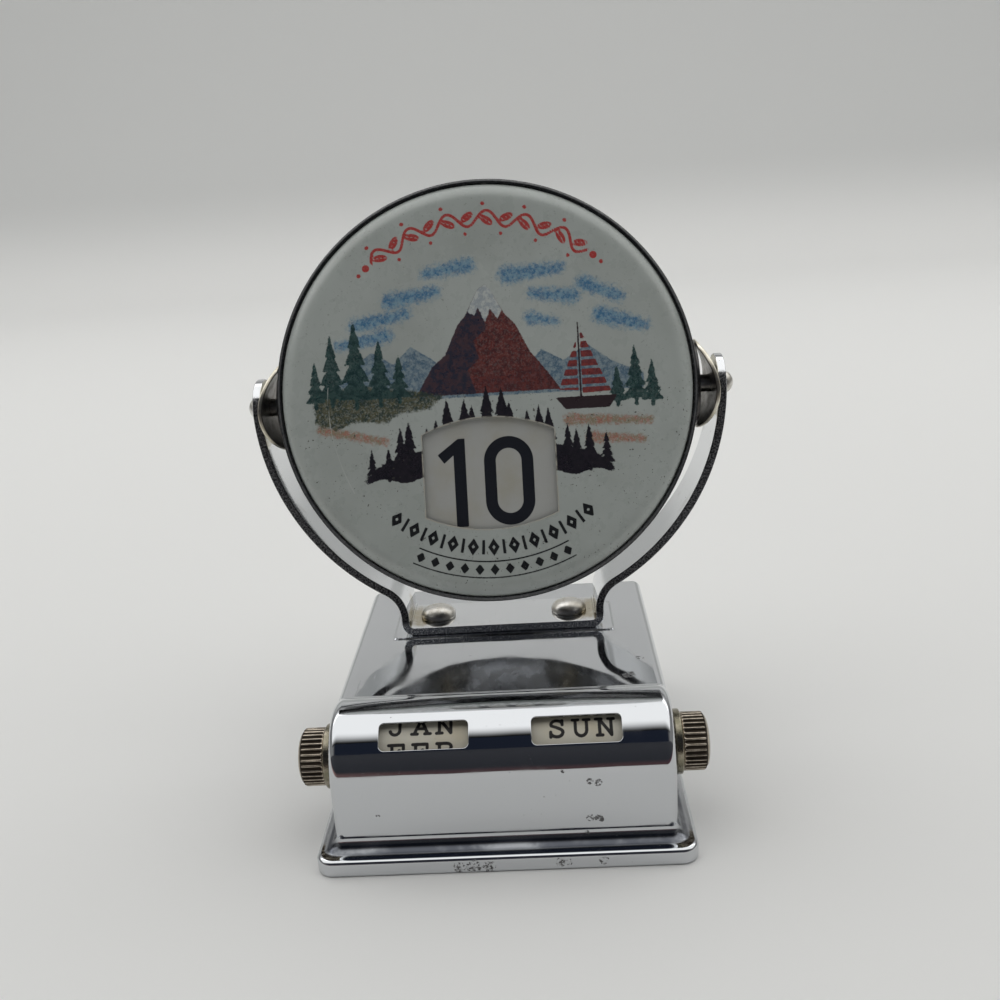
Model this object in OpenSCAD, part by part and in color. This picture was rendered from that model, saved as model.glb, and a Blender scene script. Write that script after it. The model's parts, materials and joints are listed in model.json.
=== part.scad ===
// Perpetual desk calendar: a chrome base with two printed rollers, a yoke,
// and a flip-over drum that lets a stack of date tiles slide past its two windows.
// Units are millimetres. The origin is the centre of the base's underside,
// X runs to the right, Y to the back and Z up.

/* [Base shell] */
// Width of the shell across its side walls
base_w = 53.6; // [46:0.1:64]
// Depth of the base over its foot flange
base_d = 64; // [58:0.5:76]
// Height of the flat deck above the table
deck_z = 22.2; // [21.4:0.1:26.8]
// Thickness of the pressed sheet
sheet_t = 0.5; // [0.4:0.05:0.8]
// Outer radius of the rounded nose over the rollers
nose_r = 9.1; // [8.6:0.1:9.8]
// Height of the upright edge of the foot flange
flange_h = 2.6; // [2.2:0.1:3.2]
// How far the foot flange stands out at the sides and the back
flange_out = 2.8; // [2.4:0.1:3.4]
// How far the foot flange stands out at the front
flange_front = 3.6; // [3:0.1:4.5]
// Radius of the hollow curve between the walls and the flange
cove_r = 1.9; // [1.5:0.1:2.3]
// Radius of the shell's rounded edges
edge_r = 1.6; // [1:0.1:2]
// Height of the pressed pad under the yoke
pad_h = 0.25; // [0.1:0.05:0.5]
// How far the pad reaches past the foot plate at the sides
pad_side = 1.9; // [1:0.1:2.4]
// How far the pad reaches past the foot plate at the front and the back
pad_edge = 1.2; // [0.6:0.1:1.6]
// Radius of the pad's corners
pad_corner = 1; // [0.6:0.1:1.4]
// Thickness of the fibre cover in the underside
cover_t = 1.4; // [1:0.1:1.8]

/* [Label windows] */
// Width of the month and day windows
slot_w = 13.8; // [11:0.1:16.6]
// Height of the windows, measured straight across the nose
slot_h = 4.3; // [3.5:0.1:5.2]
// Distance of each window's centre from the middle of the base
slot_x = 11.8; // [10.5:0.1:13]
// Angle of the windows above the horizontal
slot_angle = 47; // [40:1:54]

/* [Rollers] */
// Radial gap between the paper band and the inside of the nose
roller_gap = 0.9; // [0.6:0.1:1.3]
// Gap between the paper band and the underside of the deck
deck_gap = 0.2; // [0.15:0.05:0.5]
// Thickness of the printed paper band
band_t = 0.15; // [0.1:0.05:0.3]
// Wall of the roller tube
roller_wall = 1; // [0.7:0.1:1.5]
// Radius of the roller shafts
shaft_r = 1.5; // [1.2:0.1:1.8]
// Gap from the middle of the base to each roller's inner end
roller_start = 1.8; // [1.5:0.1:2.4]
// Gap between each roller's outer end and the inside of the wall
roller_end_gap = 1.2; // [0.8:0.1:1.6]
// Width of bare roller at the inner end of the band
band_inner_margin = 1.2; // [0.8:0.1:1.6]
// Width of bare roller at the outer end of the band, where the spring bears
band_outer_margin = 3.4; // [3:0.1:4]
// Thickness of the end webs of the roller
web_t = 1.2; // [0.8:0.1:1.6]
// Wall of the hubs round the shaft
hub_wall = 1.3; // [0.8:0.1:1.6]

/* [Knobs] */
// Radius of the knob's plain skirt
skirt_r = 5.15; // [4.6:0.05:6.2]
// Thickness of the skirt
skirt_t = 1.2; // [0.8:0.1:1.6]
// Radius over the knurls
knurl_r = 4.6; // [4:0.05:5]
// Length of the knurled part
knurl_l = 3.7; // [3:0.1:4.5]
// Number of knurls round the knob
knurl_count = 32; // [24:1:40]
// Height of the domed end of the knob
knob_dome = 0.8; // [0.5:0.1:1.2]
// Metal left between the shaft's end and the knob's face
knob_end_wall = 1.2; // [0.8:0.1:1.6]
// Step from the knurls in to the domed end
dome_step = 0.4; // [0.2:0.1:0.6]
// Thickness of the friction washer behind the knob
knob_washer_t = 0.3; // [0.2:0.05:0.5]

/* [Yoke] */
// Width of the yoke strip
yoke_w = 11; // [9:0.1:13.2]
// Thickness of the yoke strip
yoke_t = 1.4; // [1.1:0.1:1.7]
// Distance of the pivots behind the middle of the base
yoke_y = 11.8; // [9:0.1:13]
// Clear space between the swinging drum and the yoke's arms
arm_gap = 2.4; // [1.8:0.1:3.2]
// Extra clear space under the drum, above the foot plate
foot_gap = 2.3; // [2:0.1:3.5]
// Half the width of the foot plate, to the middle of the upright strip
foot_half = 17.6; // [16:0.1:20]
// Middle radius of the outward bend above the foot plate
bend_r = 6; // [4:0.1:6.5]
// Inside radius of the foot plate's corners
foot_bend = 0.8; // [0.5:0.1:1]
// Height of the ears above the pivot
ear_rise = 5; // [4:0.1:5.5]
// Distance of each foot rivet from the middle
rivet_x = 12.1; // [9:0.1:12.5]
// Radius of the foot rivet heads
rivet_head_r = 3.2; // [2.6:0.1:3.5]
// Height of the foot rivet heads
rivet_head_h = 2; // [1.2:0.1:2.4]
// Radius of the foot rivet shanks
rivet_r = 1.5; // [1:0.1:1.8]
// Height of the foot rivets' upset ends under the deck
rivet_tail_h = 0.8; // [0.5:0.1:1]
// How far the upset ends reach past the shanks
rivet_tail_lip = 1; // [0.5:0.1:1.2]

/* [Pivots] */
// Radius of the pivot rivets
pin_r = 1.5; // [1.2:0.1:1.8]
// Radius of the pivot rivets' outer heads
pin_head_r = 1.9; // [1.7:0.1:2.4]
// Height of the pivot rivets' outer heads
pin_head_h = 1.9; // [1.2:0.1:2.2]
// Radius of the bent spring washers
washer_r = 7.7; // [6.5:0.1:8.3]
// Thickness of the bent spring washers
washer_t = 0.7; // [0.4:0.05:0.8]
// How far the spring washers reach past the flat washers
washer_lap = 0.7; // [0.4:0.1:0.9]
// Thickness of the flat washers against the hoop
spacer_t = 0.6; // [0.4:0.05:0.8]
// Outer radius of the pivot bushes
bush_r = 2.5; // [2.3:0.1:3]
// How far the bushes' flanges reach past their barrels
bush_lip = 1.2; // [0.8:0.1:1.5]
// How far the bushes reach into the drum
bush_depth = 2.6; // [2.2:0.1:3]
// Thickness of the pivot rivets' upset ends
pin_tail_h = 0.8; // [0.5:0.1:1]

/* [Drum] */
// Outer radius of the hoop
drum_r = 35; // [29:0.1:42]
// Backward tilt of the drum at rest, in degrees
drum_tilt = 17; // [0:1:25]
// Wall of the hoop
hoop_t = 0.5; // [0.4:0.05:0.7]
// Radius of the hoop's rolled edges
bead_r = 0.4; // [0.35:0.05:0.5]
// Thickness of the printed face plates
face_t = 0.4; // [0.3:0.05:0.5]
// Width of the sloping margin round each face
margin_w = 2.4; // [1.8:0.1:3]
// Drop of the sloping margin
margin_drop = 1; // [0.6:0.1:1.2]
// Depth of the face plates' skirts inside the hoop
skirt_h = 2.5; // [1.5:0.1:3]
// Width of the date windows
window_w = 21.8; // [18:0.1:26.2]
// Height of the date windows at their middle
window_h = 18.4; // [15.2:0.1:21]
// Height of the bulge of the windows' top and bottom edges
window_bulge = 2.4; // [1:0.1:3]
// Distance from the face's edge to the nearest point of the window
window_margin = 11.25; // [9:0.05:12.5]

/* [Date tiles] */
// Number of date tiles in the drum
tile_count = 16; // [12:1:18]
// Thickness of a date tile
tile_t = 1.1; // [0.9:0.05:1.35]
// How far a tile reaches past the window on each side
tile_lap = 1.8; // [1.4:0.1:2.2]
// Free space in the stack's depth
tile_play = 1.6; // [1:0.1:2]
// Clearance between the tiles and the walls they slide along
tile_gap = 0.15; // [0.1:0.05:0.3]
// Wall of the tile guides
guide_t = 1; // [0.8:0.1:1.4]

/* [Fits] */
// Radial clearance of shafts and pins in their bores
running = 0.05; // [0.02:0.01:0.1]
// Clearance between fixed parts that seat on each other
seat = 0.02; // [0.01:0.01:0.04]
// Clearance between the drum's fixed parts and its inner wall
drum_gap = 0.1; // [0.1:0.05:0.2]

/* [Hidden] */
$fn = 96;
tiny = 0.01;
far = 200;

// base
wall_x = base_w / 2;
wall_back = base_d / 2 - flange_out;
wall_front = -base_d / 2 + flange_front;
corner_r = edge_r + flange_out;

// rollers
band_r = nose_r - sheet_t - roller_gap;
roller_r = band_r - band_t;
roller_y = wall_front + nose_r;
roller_z = deck_z - sheet_t - deck_gap - band_r;
roller_end = wall_x - sheet_t - roller_end_gap;
band_start = roller_start + band_inner_margin;
band_end = roller_end - band_outer_margin;
hub_r = shaft_r + hub_wall;

// friction springs and their rivets
spring_w = 2.2;
spring_t = 0.25;
spring_foot = 6;
spring_rise = 2;
spring_inset = 0.4;
spring_x = roller_end - spring_inset - spring_w / 2;
spring_y = roller_y + roller_r + 2 * seat;
spring_rivet_y = roller_y + roller_r + 4;
spring_rivet_r = 0.6;
spring_rivet_bottom = 0.3;
spring_head_r = 1;
spring_head_h = 0.5;

// centre bracket
bracket_t = 1.6;
bracket_eye = 3;
bracket_foot = 9;
bracket_foot_half = 5;
bracket_foot_t = 0.8;
bracket_y = band_r + 1 + bracket_foot / 2;

// knobs
knob_start = wall_x + knob_washer_t + 2 * seat;
knob_face = knob_start + skirt_t + knurl_l;
knob_bore_end = knob_face - knob_end_wall;

// yoke and pivots
half_depth = (tile_count * tile_t + tile_play) / 2 + face_t + drum_gap;
swing_r = sqrt(pow(drum_r, 2) + pow(half_depth, 2));
arm_in = swing_r + arm_gap;
arm_out = arm_in + yoke_t;
arm_mid = arm_in + yoke_t / 2;
plate_z = deck_z + pad_h;
foot_top = plate_z + seat + yoke_t;
pivot_z = foot_top + arm_in + foot_gap;
bend_x = foot_half + bend_r;
bend_z = pivot_z - sqrt(pow(arm_mid + bend_r, 2) - pow(bend_x, 2));
bend_angle = acos(bend_x / (arm_mid + bend_r));
hoop_hole_r = bush_r + seat;
flat_washer_x = drum_r + 2 * seat;
bow_x = flat_washer_x + spacer_t + seat;
bow_h = arm_in - seat - bow_x;
bow_r = (pow(washer_r, 2) + pow(bow_h, 2)) / (2 * bow_h);
bush_in = drum_r - bush_depth;
pin_in = bush_in - running;
pin_tail_r = bush_r;

// drum
face_r = drum_r - 2 * bead_r - 0.05;
hoop_half = half_depth - margin_drop;
window_drop = face_r - window_margin - window_h / 2;
window_r = (pow(window_w / 2, 2) + pow(window_bulge, 2)) / (2 * window_bulge);
tile_w = window_w + 2 * tile_lap;
tile_h = window_h + 2 * tile_lap;
guide_x = tile_w / 2 + tile_gap;
guide_z = window_drop + tile_h / 2 + tile_gap;
guide_half = half_depth - face_t - drum_gap;
stack_half = tile_count * tile_t / 2;
first_tile = -guide_half + tile_gap;

// ---------- shared shapes ----------

// a cylinder along X from x0 to x1
module rod_x(r, x0, x1) {
    translate([x0, 0, 0]) rotate([0, 90, 0]) cylinder(r = r, h = x1 - x0);
}

// a turned shape about X; the outline holds [radius, x] points
module turned_x(outline) {
    rotate([0, 90, 0]) rotate_extrude() polygon(outline);
}

// a flat ring about X from x0 to x1
module ring_x(r_out, r_in, x0, x1) {
    difference() {
        rod_x(r_out, x0, x1);
        rod_x(r_in, x0 - 1, x1 + 1);
    }
}

// a domed head of base radius r and height h, standing on z = 0
module dome(r, h) {
    ball = (pow(r, 2) + pow(h, 2)) / (2 * h);
    intersection() {
        translate([0, 0, h - ball]) sphere(r = ball);
        cylinder(r = r + 1, h = h + 1);
    }
}

// an oblong with rounded corners, between two corner points
module rounded_plan(x, y0, y1, r) {
    translate([-x + r, y0]) square([2 * (x - r), y1 - y0]);
    translate([-x, y0 + r]) square([2 * x, y1 - y0 - 2 * r]);
    for (sx = [-1, 1], y = [y0 + r, y1 - r]) translate([sx * (x - r), y]) circle(r = r);
}

// puts the left-hand copy of a right-hand piece in place
module left() {
    mirror([1, 0, 0]) children();
}

module at_rollers() {
    translate([0, roller_y, roller_z]) children();
}

module at_pivots() {
    translate([0, yoke_y, pivot_z]) children();
}

// the drum's own frame: its face looks along -Y and its top is up
module in_drum() {
    at_pivots() rotate([-drum_tilt, 0, 0]) children();
}

// the same frame turned over, as the drum is for its back face
module turned_over() {
    rotate([180, 0, 0]) children();
}

// extrudes a shape drawn in Y and Z along X, centred
module extrude_x(w) {
    rotate([90, 0, 90]) linear_extrude(w, center = true) children();
}

// extrudes a shape drawn in X and Z along Y, from y0 to y1
module extrude_y(y0, y1) {
    translate([0, y1, 0]) rotate([90, 0, 0]) linear_extrude(y1 - y0) children();
}

// ---------- base ----------

// side outline of the shell's body, drawn in Y and Z, shrunk by inset
module body_side(inset) {
    translate([roller_y, roller_z]) circle(r = nose_r - inset);
    translate([wall_front + inset, -1]) square([nose_r - inset, roller_z + 1]);
    translate([roller_y, -1]) square([wall_back - inset - roller_y, deck_z - inset - edge_r + 1]);
    translate([roller_y, deck_z - inset - edge_r - 1])
        square([wall_back - edge_r - roller_y, edge_r + 1]);
    translate([wall_back - edge_r, deck_z - edge_r]) circle(r = edge_r - inset);
}

// front outline of the shell's body, drawn in X and Z
module body_front(inset) {
    top = roller_z + nose_r + 1;
    x = wall_x - inset;
    shoulder = deck_z - edge_r;
    translate([-x, -1]) square([2 * x, shoulder + 1]);
    translate([-wall_x + edge_r, -1]) square([2 * (wall_x - edge_r), top + 1]);
    for (sx = [-1, 1]) translate([sx * (wall_x - edge_r), shoulder]) circle(r = edge_r - inset);
}

module shell_body(inset) {
    intersection() {
        extrude_x(base_w + 2) body_side(inset);
        extrude_y(-base_d, base_d) body_front(inset);
        translate([0, 0, -1]) linear_extrude(roller_z + nose_r + 2)
            rounded_plan(wall_x - inset, wall_front + inset, wall_back - inset, edge_r - inset);
    }
}

// the hollow curve from the walls down to the flange, on a straight stretch
module cove_section() {
    difference() {
        square([cove_r, cove_r]);
        translate([cove_r, cove_r]) circle(r = cove_r);
    }
}

module cove() {
    x = wall_x - edge_r;
    y0 = wall_front + edge_r;
    y1 = wall_back - edge_r;
    translate([0, 0, flange_h]) {
        for (sx = [0, 1]) mirror([sx, 0, 0]) translate([wall_x, 0, 0])
            extrude_y(y0, y1) translate([-tiny, -tiny]) cove_section();
        translate([0, wall_back, 0]) extrude_x(2 * x) translate([-tiny, -tiny]) cove_section();
        mirror([0, 1, 0]) translate([0, -wall_front, 0]) extrude_x(2 * x)
            translate([-tiny, -tiny]) cove_section();
        for (sx = [-1, 1], y = [y0, y1]) translate([sx * x, y, -tiny])
            rotate_extrude() translate([edge_r - tiny, 0]) cove_section();
    }
}

module flange() {
    linear_extrude(flange_h)
        rounded_plan(wall_x + flange_out, -base_d / 2, base_d / 2, corner_r);
}

// the recess in the underside that holds the cover
module cover_plan(gap) {
    inset = sheet_t + gap;
    rounded_plan(wall_x + flange_out - inset, -base_d / 2 + inset, base_d / 2 - inset,
        corner_r - inset);
}

module label_window() {
    r = 0.8;
    half_h = slot_h / 2;
    rotate([90 - slot_angle, 0, 0]) linear_extrude(nose_r + 2)
        translate([slot_x, 0]) rounded_plan(slot_w / 2, -half_h, half_h, r);
}

module base_shell() {
    color("gainsboro") difference() {
        union() {
            shell_body(0);
            flange();
            cove();
            translate([0, yoke_y, deck_z - tiny]) linear_extrude(pad_h + tiny)
                rounded_plan(foot_half + yoke_t / 2 + pad_side, -yoke_w / 2 - pad_edge,
                    yoke_w / 2 + pad_edge, pad_corner);
        }
        shell_body(sheet_t);
        translate([0, 0, -1]) linear_extrude(cover_t + seat + 1) cover_plan(0);
        at_rollers() {
            label_window();
            left() label_window();
            rod_x(shaft_r + running, -far, far);
        }
        for (sx = [-1, 1]) translate([sx * rivet_x, yoke_y, deck_z - 2])
            cylinder(r = rivet_r + seat, h = 4);
    }
}

module bottom_cover() {
    color("saddlebrown") difference() {
        linear_extrude(cover_t) cover_plan(seat);
        spring_rivet_holes();
    }
}

// ---------- rollers ----------

// a web between the rollers' inner ends, under a foot that is spot-welded to the deck
module centre_bracket() {
    tab_top = deck_z - sheet_t - seat;
    eye_r = shaft_r + bracket_eye;
    color("silver") difference() {
        union() {
            intersection() {
                at_rollers() extrude_x(bracket_t) {
                    circle(r = eye_r);
                    translate([0, -eye_r])
                        square([bracket_y + bracket_foot / 2, eye_r + nose_r]);
                }
                translate([-far / 2, -far / 2, 0]) cube([far, far, tab_top]);
            }
            translate([-bracket_foot_half, roller_y + bracket_y - bracket_foot / 2,
                tab_top - bracket_foot_t])
                cube([2 * bracket_foot_half, bracket_foot, bracket_foot_t]);
        }
        at_rollers() rod_x(shaft_r + running, -bracket_t, bracket_t);
    }
}

module shaft() {
    color("darkgray") at_rollers() rod_x(shaft_r, seat, knob_bore_end - seat);
}

// a tube with a web and hub at each end
module roller() {
    inner = roller_r - roller_wall;
    color("burlywood") at_rollers() difference() {
        rod_x(roller_r, roller_start, roller_end);
        difference() {
            rod_x(inner, roller_start + web_t, roller_end - web_t);
            rod_x(hub_r, roller_start, roller_end);
        }
        rod_x(shaft_r + seat, 0, far);
    }
}

module band() {
    color("ivory") at_rollers() ring_x(band_r, roller_r + seat, band_start, band_end);
}

// a leaf that stands on the cover and bears on the roller's plain outer end
module friction_spring() {
    color("dimgray") difference() {
        translate([spring_x - spring_w / 2, spring_y, cover_t + seat]) {
            cube([spring_w, spring_t, roller_z + spring_rise - cover_t]);
            cube([spring_w, spring_foot, spring_t]);
        }
        spring_rivet_holes();
    }
}

module spring_rivet_place() {
    for (sx = [-1, 1]) translate([sx * spring_x, spring_rivet_y, 0]) children();
}

module spring_rivet_holes() {
    spring_rivet_place() translate([0, 0, -1])
        cylinder(r = spring_rivet_r + seat, h = cover_t + 2);
}

module spring_rivets() {
    leaf_top = cover_t + spring_t + 2 * seat;
    color("silver") spring_rivet_place() {
        translate([0, 0, spring_rivet_bottom])
            cylinder(r = spring_rivet_r, h = leaf_top - spring_rivet_bottom + 0.1);
        translate([0, 0, leaf_top]) cylinder(r = spring_head_r, h = spring_head_h);
    }
}

module knob() {
    flute_r = PI * knurl_r / knurl_count * 0.55;
    color("rosybrown") at_rollers() difference() {
        union() {
            rod_x(skirt_r, knob_start, knob_start + skirt_t);
            rod_x(knurl_r, knob_start, knob_face);
            translate([knob_face - tiny, 0, 0]) rotate([0, 90, 0])
                dome(knurl_r - dome_step, knob_dome);
        }
        for (i = [0 : knurl_count - 1]) rotate([i * 360 / knurl_count, 0, 0])
            translate([0, knurl_r + flute_r * 0.35, 0])
                rod_x(flute_r, knob_start + skirt_t, knob_face + 1);
        rod_x(shaft_r + seat, knob_start - 1, knob_bore_end);
    }
}

module knob_washer() {
    color("gray") at_rollers()
        ring_x(skirt_r - 1, shaft_r + running, wall_x + seat, wall_x + seat + knob_washer_t);
}

module month_knob() left() knob();
module month_washer() left() knob_washer();
module month_shaft() left() shaft();
module month_roller() left() roller();
module month_band() left() band();
module month_spring() left() friction_spring();
module day_knob() knob();
module day_washer() knob_washer();
module day_shaft() shaft();
module day_roller() roller();
module day_band() band();
module day_spring() friction_spring();

// ---------- yoke ----------

// points along an arc about a centre, from one direction to another
function arc(centre, r, from, to, steps = 12) =
    [for (i = [0 : steps]) let (a = from + (to - from) * i / steps)
        centre + r * [cos(a), sin(a)]];

function backwards(points) = [for (i = [len(points) - 1 : -1 : 0]) points[i]];
function flipped(points) = [for (p = points) [-p[0], p[1]]];

// one face of the right-hand half of the bent strip, drawn in X and Z from the ear down
// to the middle of the foot plate; off is the distance from the strip's middle, outwards
function strip_face(off) =
    let (
        pivot = [0, pivot_z],
        bend = [bend_x, bend_z],
        half_t = yoke_t / 2,
        corner = [foot_half - half_t - foot_bend, foot_top + foot_bend]
    )
    concat(
        [[arm_mid + off, pivot_z + ear_rise + 1]],
        arc(pivot, arm_mid + off, 0, -bend_angle, 36),
        arc(bend, bend_r - off, 180 - bend_angle, 180),
        arc(corner, foot_bend + half_t + off, 0, -90),
        [[0, foot_top - half_t - off]]
    );

module strip_outline() {
    half_t = yoke_t / 2;
    inner = strip_face(-half_t);
    outer = strip_face(half_t);
    polygon(concat(inner, backwards(flipped(inner)), flipped(outer), backwards(outer)));
}

module yoke() {
    ear_r = yoke_w / 2;
    ear_z = pivot_z + ear_rise - ear_r;
    color("lightsteelblue") difference() {
        intersection() {
            translate([0, yoke_y, 0]) extrude_y(-ear_r, ear_r) strip_outline();
            translate([0, yoke_y, 0]) extrude_x(4 * arm_out) {
                translate([0, ear_z]) circle(r = ear_r);
                translate([-ear_r, plate_z]) square([yoke_w, ear_z - plate_z]);
            }
        }
        at_pivots() rod_x(pin_r + seat, -far, far);
        for (sx = [-1, 1]) translate([sx * rivet_x, yoke_y, plate_z - 1])
            cylinder(r = rivet_r + seat, h = yoke_t + 2);
    }
}

module yoke_rivets() {
    low = deck_z - sheet_t - seat - rivet_tail_h;
    color("silver") for (sx = [-1, 1]) translate([sx * rivet_x, yoke_y, 0]) {
        translate([0, 0, low]) cylinder(r = rivet_r, h = foot_top + seat - low + 0.2);
        translate([0, 0, low]) cylinder(r = rivet_r + rivet_tail_lip, h = rivet_tail_h);
        translate([0, 0, foot_top + seat]) dome(rivet_head_r, rivet_head_h);
    }
}

// ---------- pivots ----------

module pivot_rivet() {
    head_x = arm_out + seat;
    color("silver") at_pivots() {
        rod_x(pin_r, pin_in - pin_tail_h, head_x + 0.2);
        rod_x(pin_tail_r, pin_in - pin_tail_h, pin_in);
        translate([head_x, 0, 0]) rotate([0, 90, 0]) dome(pin_head_r, pin_head_h);
    }
}

// a bent washer: a disc bowed about a line along Y, whose crown bears on the ear
// and whose two ends bear on the flat washer's rim
module spring_washer() {
    crown = bow_x + bow_h;
    color("wheat") at_pivots() difference() {
        intersection() {
            extrude_y(-washer_r - 1, washer_r + 1) translate([crown - bow_r, 0]) difference() {
                circle(r = bow_r);
                circle(r = bow_r - washer_t);
            }
            rod_x(washer_r, bow_x, crown + 1);
        }
        rod_x(pin_r + running, bow_x - 1, crown + 1);
    }
}

module flat_washer() {
    color("dimgray") at_pivots()
        ring_x(washer_r - washer_lap, pin_r + running, flat_washer_x, flat_washer_x + spacer_t);
}

// a flanged bush riveted through the hoop; its bore turns on the pivot rivet
module pivot_bush() {
    hoop_in = sqrt(pow(drum_r - hoop_t, 2) - pow(bush_r + bush_lip, 2)) - seat;
    color("goldenrod") at_pivots() difference() {
        union() {
            rod_x(bush_r, bush_in, drum_r);
            rod_x(bush_r + bush_lip, bush_in, hoop_in);
        }
        rod_x(pin_r + running, 0, far);
    }
}

module left_pivot_rivet() left() pivot_rivet();
module left_spring_washer() left() spring_washer();
module left_flat_washer() left() flat_washer();
module left_pivot_bush() left() pivot_bush();
module right_pivot_rivet() pivot_rivet();
module right_spring_washer() spring_washer();
module right_flat_washer() flat_washer();
module right_pivot_bush() pivot_bush();

// ---------- drum ----------

module drum_hoop() {
    edge = hoop_half - bead_r;
    color("silver") in_drum() difference() {
        rotate([90, 0, 0]) rotate_extrude() {
            translate([drum_r - hoop_t, -edge]) square([hoop_t, 2 * edge]);
            for (y = [-edge, edge]) translate([drum_r - bead_r, y]) circle(r = bead_r);
        }
        rod_x(hoop_hole_r, -far, far);
    }
}

module date_window() {
    translate([0, -window_drop]) intersection() {
        translate([-window_w / 2, -window_h]) square([window_w, 2 * window_h]);
        translate([0, window_h / 2 - window_r]) circle(r = window_r);
        translate([0, -window_h / 2 + window_r]) circle(r = window_r);
    }
}

// a pressed plate: flat middle, sloping margin and a short skirt inside the hoop
module face_plate() {
    flat_r = face_r - margin_w;
    low = half_depth - margin_drop;
    skirt_out = drum_r - 2 * bead_r - 2 * seat;
    difference() {
        rotate([90, 0, 0]) rotate_extrude() polygon([
            [0, half_depth], [flat_r, half_depth],
            [skirt_out, low], [skirt_out, low - skirt_h],
            [skirt_out - face_t, low - skirt_h], [skirt_out - face_t, low - face_t],
            [flat_r, half_depth - face_t], [0, half_depth - face_t]
        ]);
        extrude_y(-half_depth - 1, 0) date_window();
    }
}

module front_face() color("whitesmoke") in_drum() face_plate();
module back_face() color("whitesmoke") in_drum() turned_over() face_plate();

// ---------- tile guides and tiles ----------

module tile_guide() {
    color("tan") in_drum() translate([guide_x, -guide_half, -guide_z])
        cube([guide_t, 2 * guide_half, 2 * guide_z]);
}

module tile_stop() {
    w = guide_x + guide_t;
    color("tan") in_drum() translate([-w, -guide_half, guide_z + seat])
        cube([2 * w, 2 * guide_half, guide_t]);
}

module left_tile_guide() left() tile_guide();
module right_tile_guide() tile_guide();
module upper_tile_stop() tile_stop();
module lower_tile_stop() {
    w = guide_x + guide_t;
    color("tan") in_drum() translate([-w, -guide_half, -guide_z - seat - guide_t])
        cube([2 * w, 2 * guide_half, guide_t]);
}

// tiles first to last, counted from the front; they lean on the front plate
module date_tiles(first, last) {
    slack = 0.01;
    color("white") in_drum() for (i = [first : last])
        translate([-tile_w / 2, first_tile + i * (tile_t + slack), -window_drop - tile_h / 2])
            cube([tile_w, tile_t, tile_h]);
}

module front_date_tile() date_tiles(0, 0);
module middle_date_tiles() date_tiles(1, tile_count - 2);
module back_date_tile() date_tiles(tile_count - 1, tile_count - 1);

base_shell();
bottom_cover();
centre_bracket();
month_knob();
month_washer();
month_shaft();
month_roller();
month_band();
month_spring();
day_knob();
day_washer();
day_shaft();
day_roller();
day_band();
day_spring();
spring_rivets();
yoke();
yoke_rivets();
left_pivot_rivet();
left_spring_washer();
left_flat_washer();
left_pivot_bush();
right_pivot_rivet();
right_spring_washer();
right_flat_washer();
right_pivot_bush();
drum_hoop();
front_face();
back_face();
left_tile_guide();
right_tile_guide();
upper_tile_stop();
lower_tile_stop();
front_date_tile();
middle_date_tiles();
back_date_tile();
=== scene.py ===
"""Looks of the flip-over desk calendar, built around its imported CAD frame."""
from functools import cached_property, reduce
import json

import bpy
import numpy as np
from mathutils import Matrix, Vector


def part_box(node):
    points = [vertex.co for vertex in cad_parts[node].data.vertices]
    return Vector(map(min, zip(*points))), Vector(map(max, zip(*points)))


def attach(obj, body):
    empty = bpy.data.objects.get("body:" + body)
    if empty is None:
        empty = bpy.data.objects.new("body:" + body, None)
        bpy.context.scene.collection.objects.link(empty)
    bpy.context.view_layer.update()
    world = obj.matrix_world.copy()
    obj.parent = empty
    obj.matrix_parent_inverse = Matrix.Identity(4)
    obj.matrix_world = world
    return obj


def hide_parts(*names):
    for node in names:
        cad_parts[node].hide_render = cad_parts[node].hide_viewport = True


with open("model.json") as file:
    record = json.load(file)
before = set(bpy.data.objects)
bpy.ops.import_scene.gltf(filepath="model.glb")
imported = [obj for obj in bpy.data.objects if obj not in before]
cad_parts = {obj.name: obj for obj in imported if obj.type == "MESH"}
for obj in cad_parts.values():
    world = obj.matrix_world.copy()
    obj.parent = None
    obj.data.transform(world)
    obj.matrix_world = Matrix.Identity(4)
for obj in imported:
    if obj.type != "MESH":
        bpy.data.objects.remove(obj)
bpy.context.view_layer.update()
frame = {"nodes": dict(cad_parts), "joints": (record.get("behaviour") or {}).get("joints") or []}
MM = 0.001
X, Y, Z = 0, 1, 2
JOINTS = {joint["name"]: joint for joint in frame["joints"]}


def reach(node, axis):
    """Where a CAD node starts and stops along an axis, in millimetres."""
    return [round(corner[axis] / MM, 3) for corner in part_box(node)]


def half(node, axis):
    """Half a CAD node's size along an axis, in millimetres."""
    low, high = reach(node, axis)
    return round((high - low) / 2, 3)


def axle(name):
    """The y and z of a hinge's axis, in millimetres."""
    return [round(c / MM, 3) for c in JOINTS[name]["pos_m"][Y:]]


# ---------- sizes, in millimetres ----------
# shell: walls, deck, nose and foot flange; the nose is round about the rollers' axis
NOSE_Y, NOSE_Z = axle("day_spin")
YOKE_Y, PIVOT_Z = axle("drum_flip")
FLANGE_H, FLANGE_OUT, FLANGE_FRONT, FLANGE_CORNER = 2.6, 2.8, 3.6, 2.8
WALL_X = half("base_shell", X) - FLANGE_OUT
WALL_FRONT = FLANGE_FRONT - half("base_shell", Y)
WALL_BACK = half("base_shell", Y) - FLANGE_OUT
NOSE_R, DECK_Z, SHEET, EDGE, CREASE = 9.1, 22.2, 0.5, 1.6, 1.8
COVE, COVER = 1.9, 1.42
COVE_TOP = FLANGE_H + COVE
SLOT_X, SLOT_HALF_W, SLOT_HALF_H, SLOT_ANGLE, SLOT_CORNER = 11.8, 6.9, 2.15, 47.0, 0.8
PAD_H, PAD_HALF_X, PAD_HALF_Y, PAD_CORNER, PAD_SLOPE = 0.25, 20.2, 6.7, 1.0, 0.6

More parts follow.
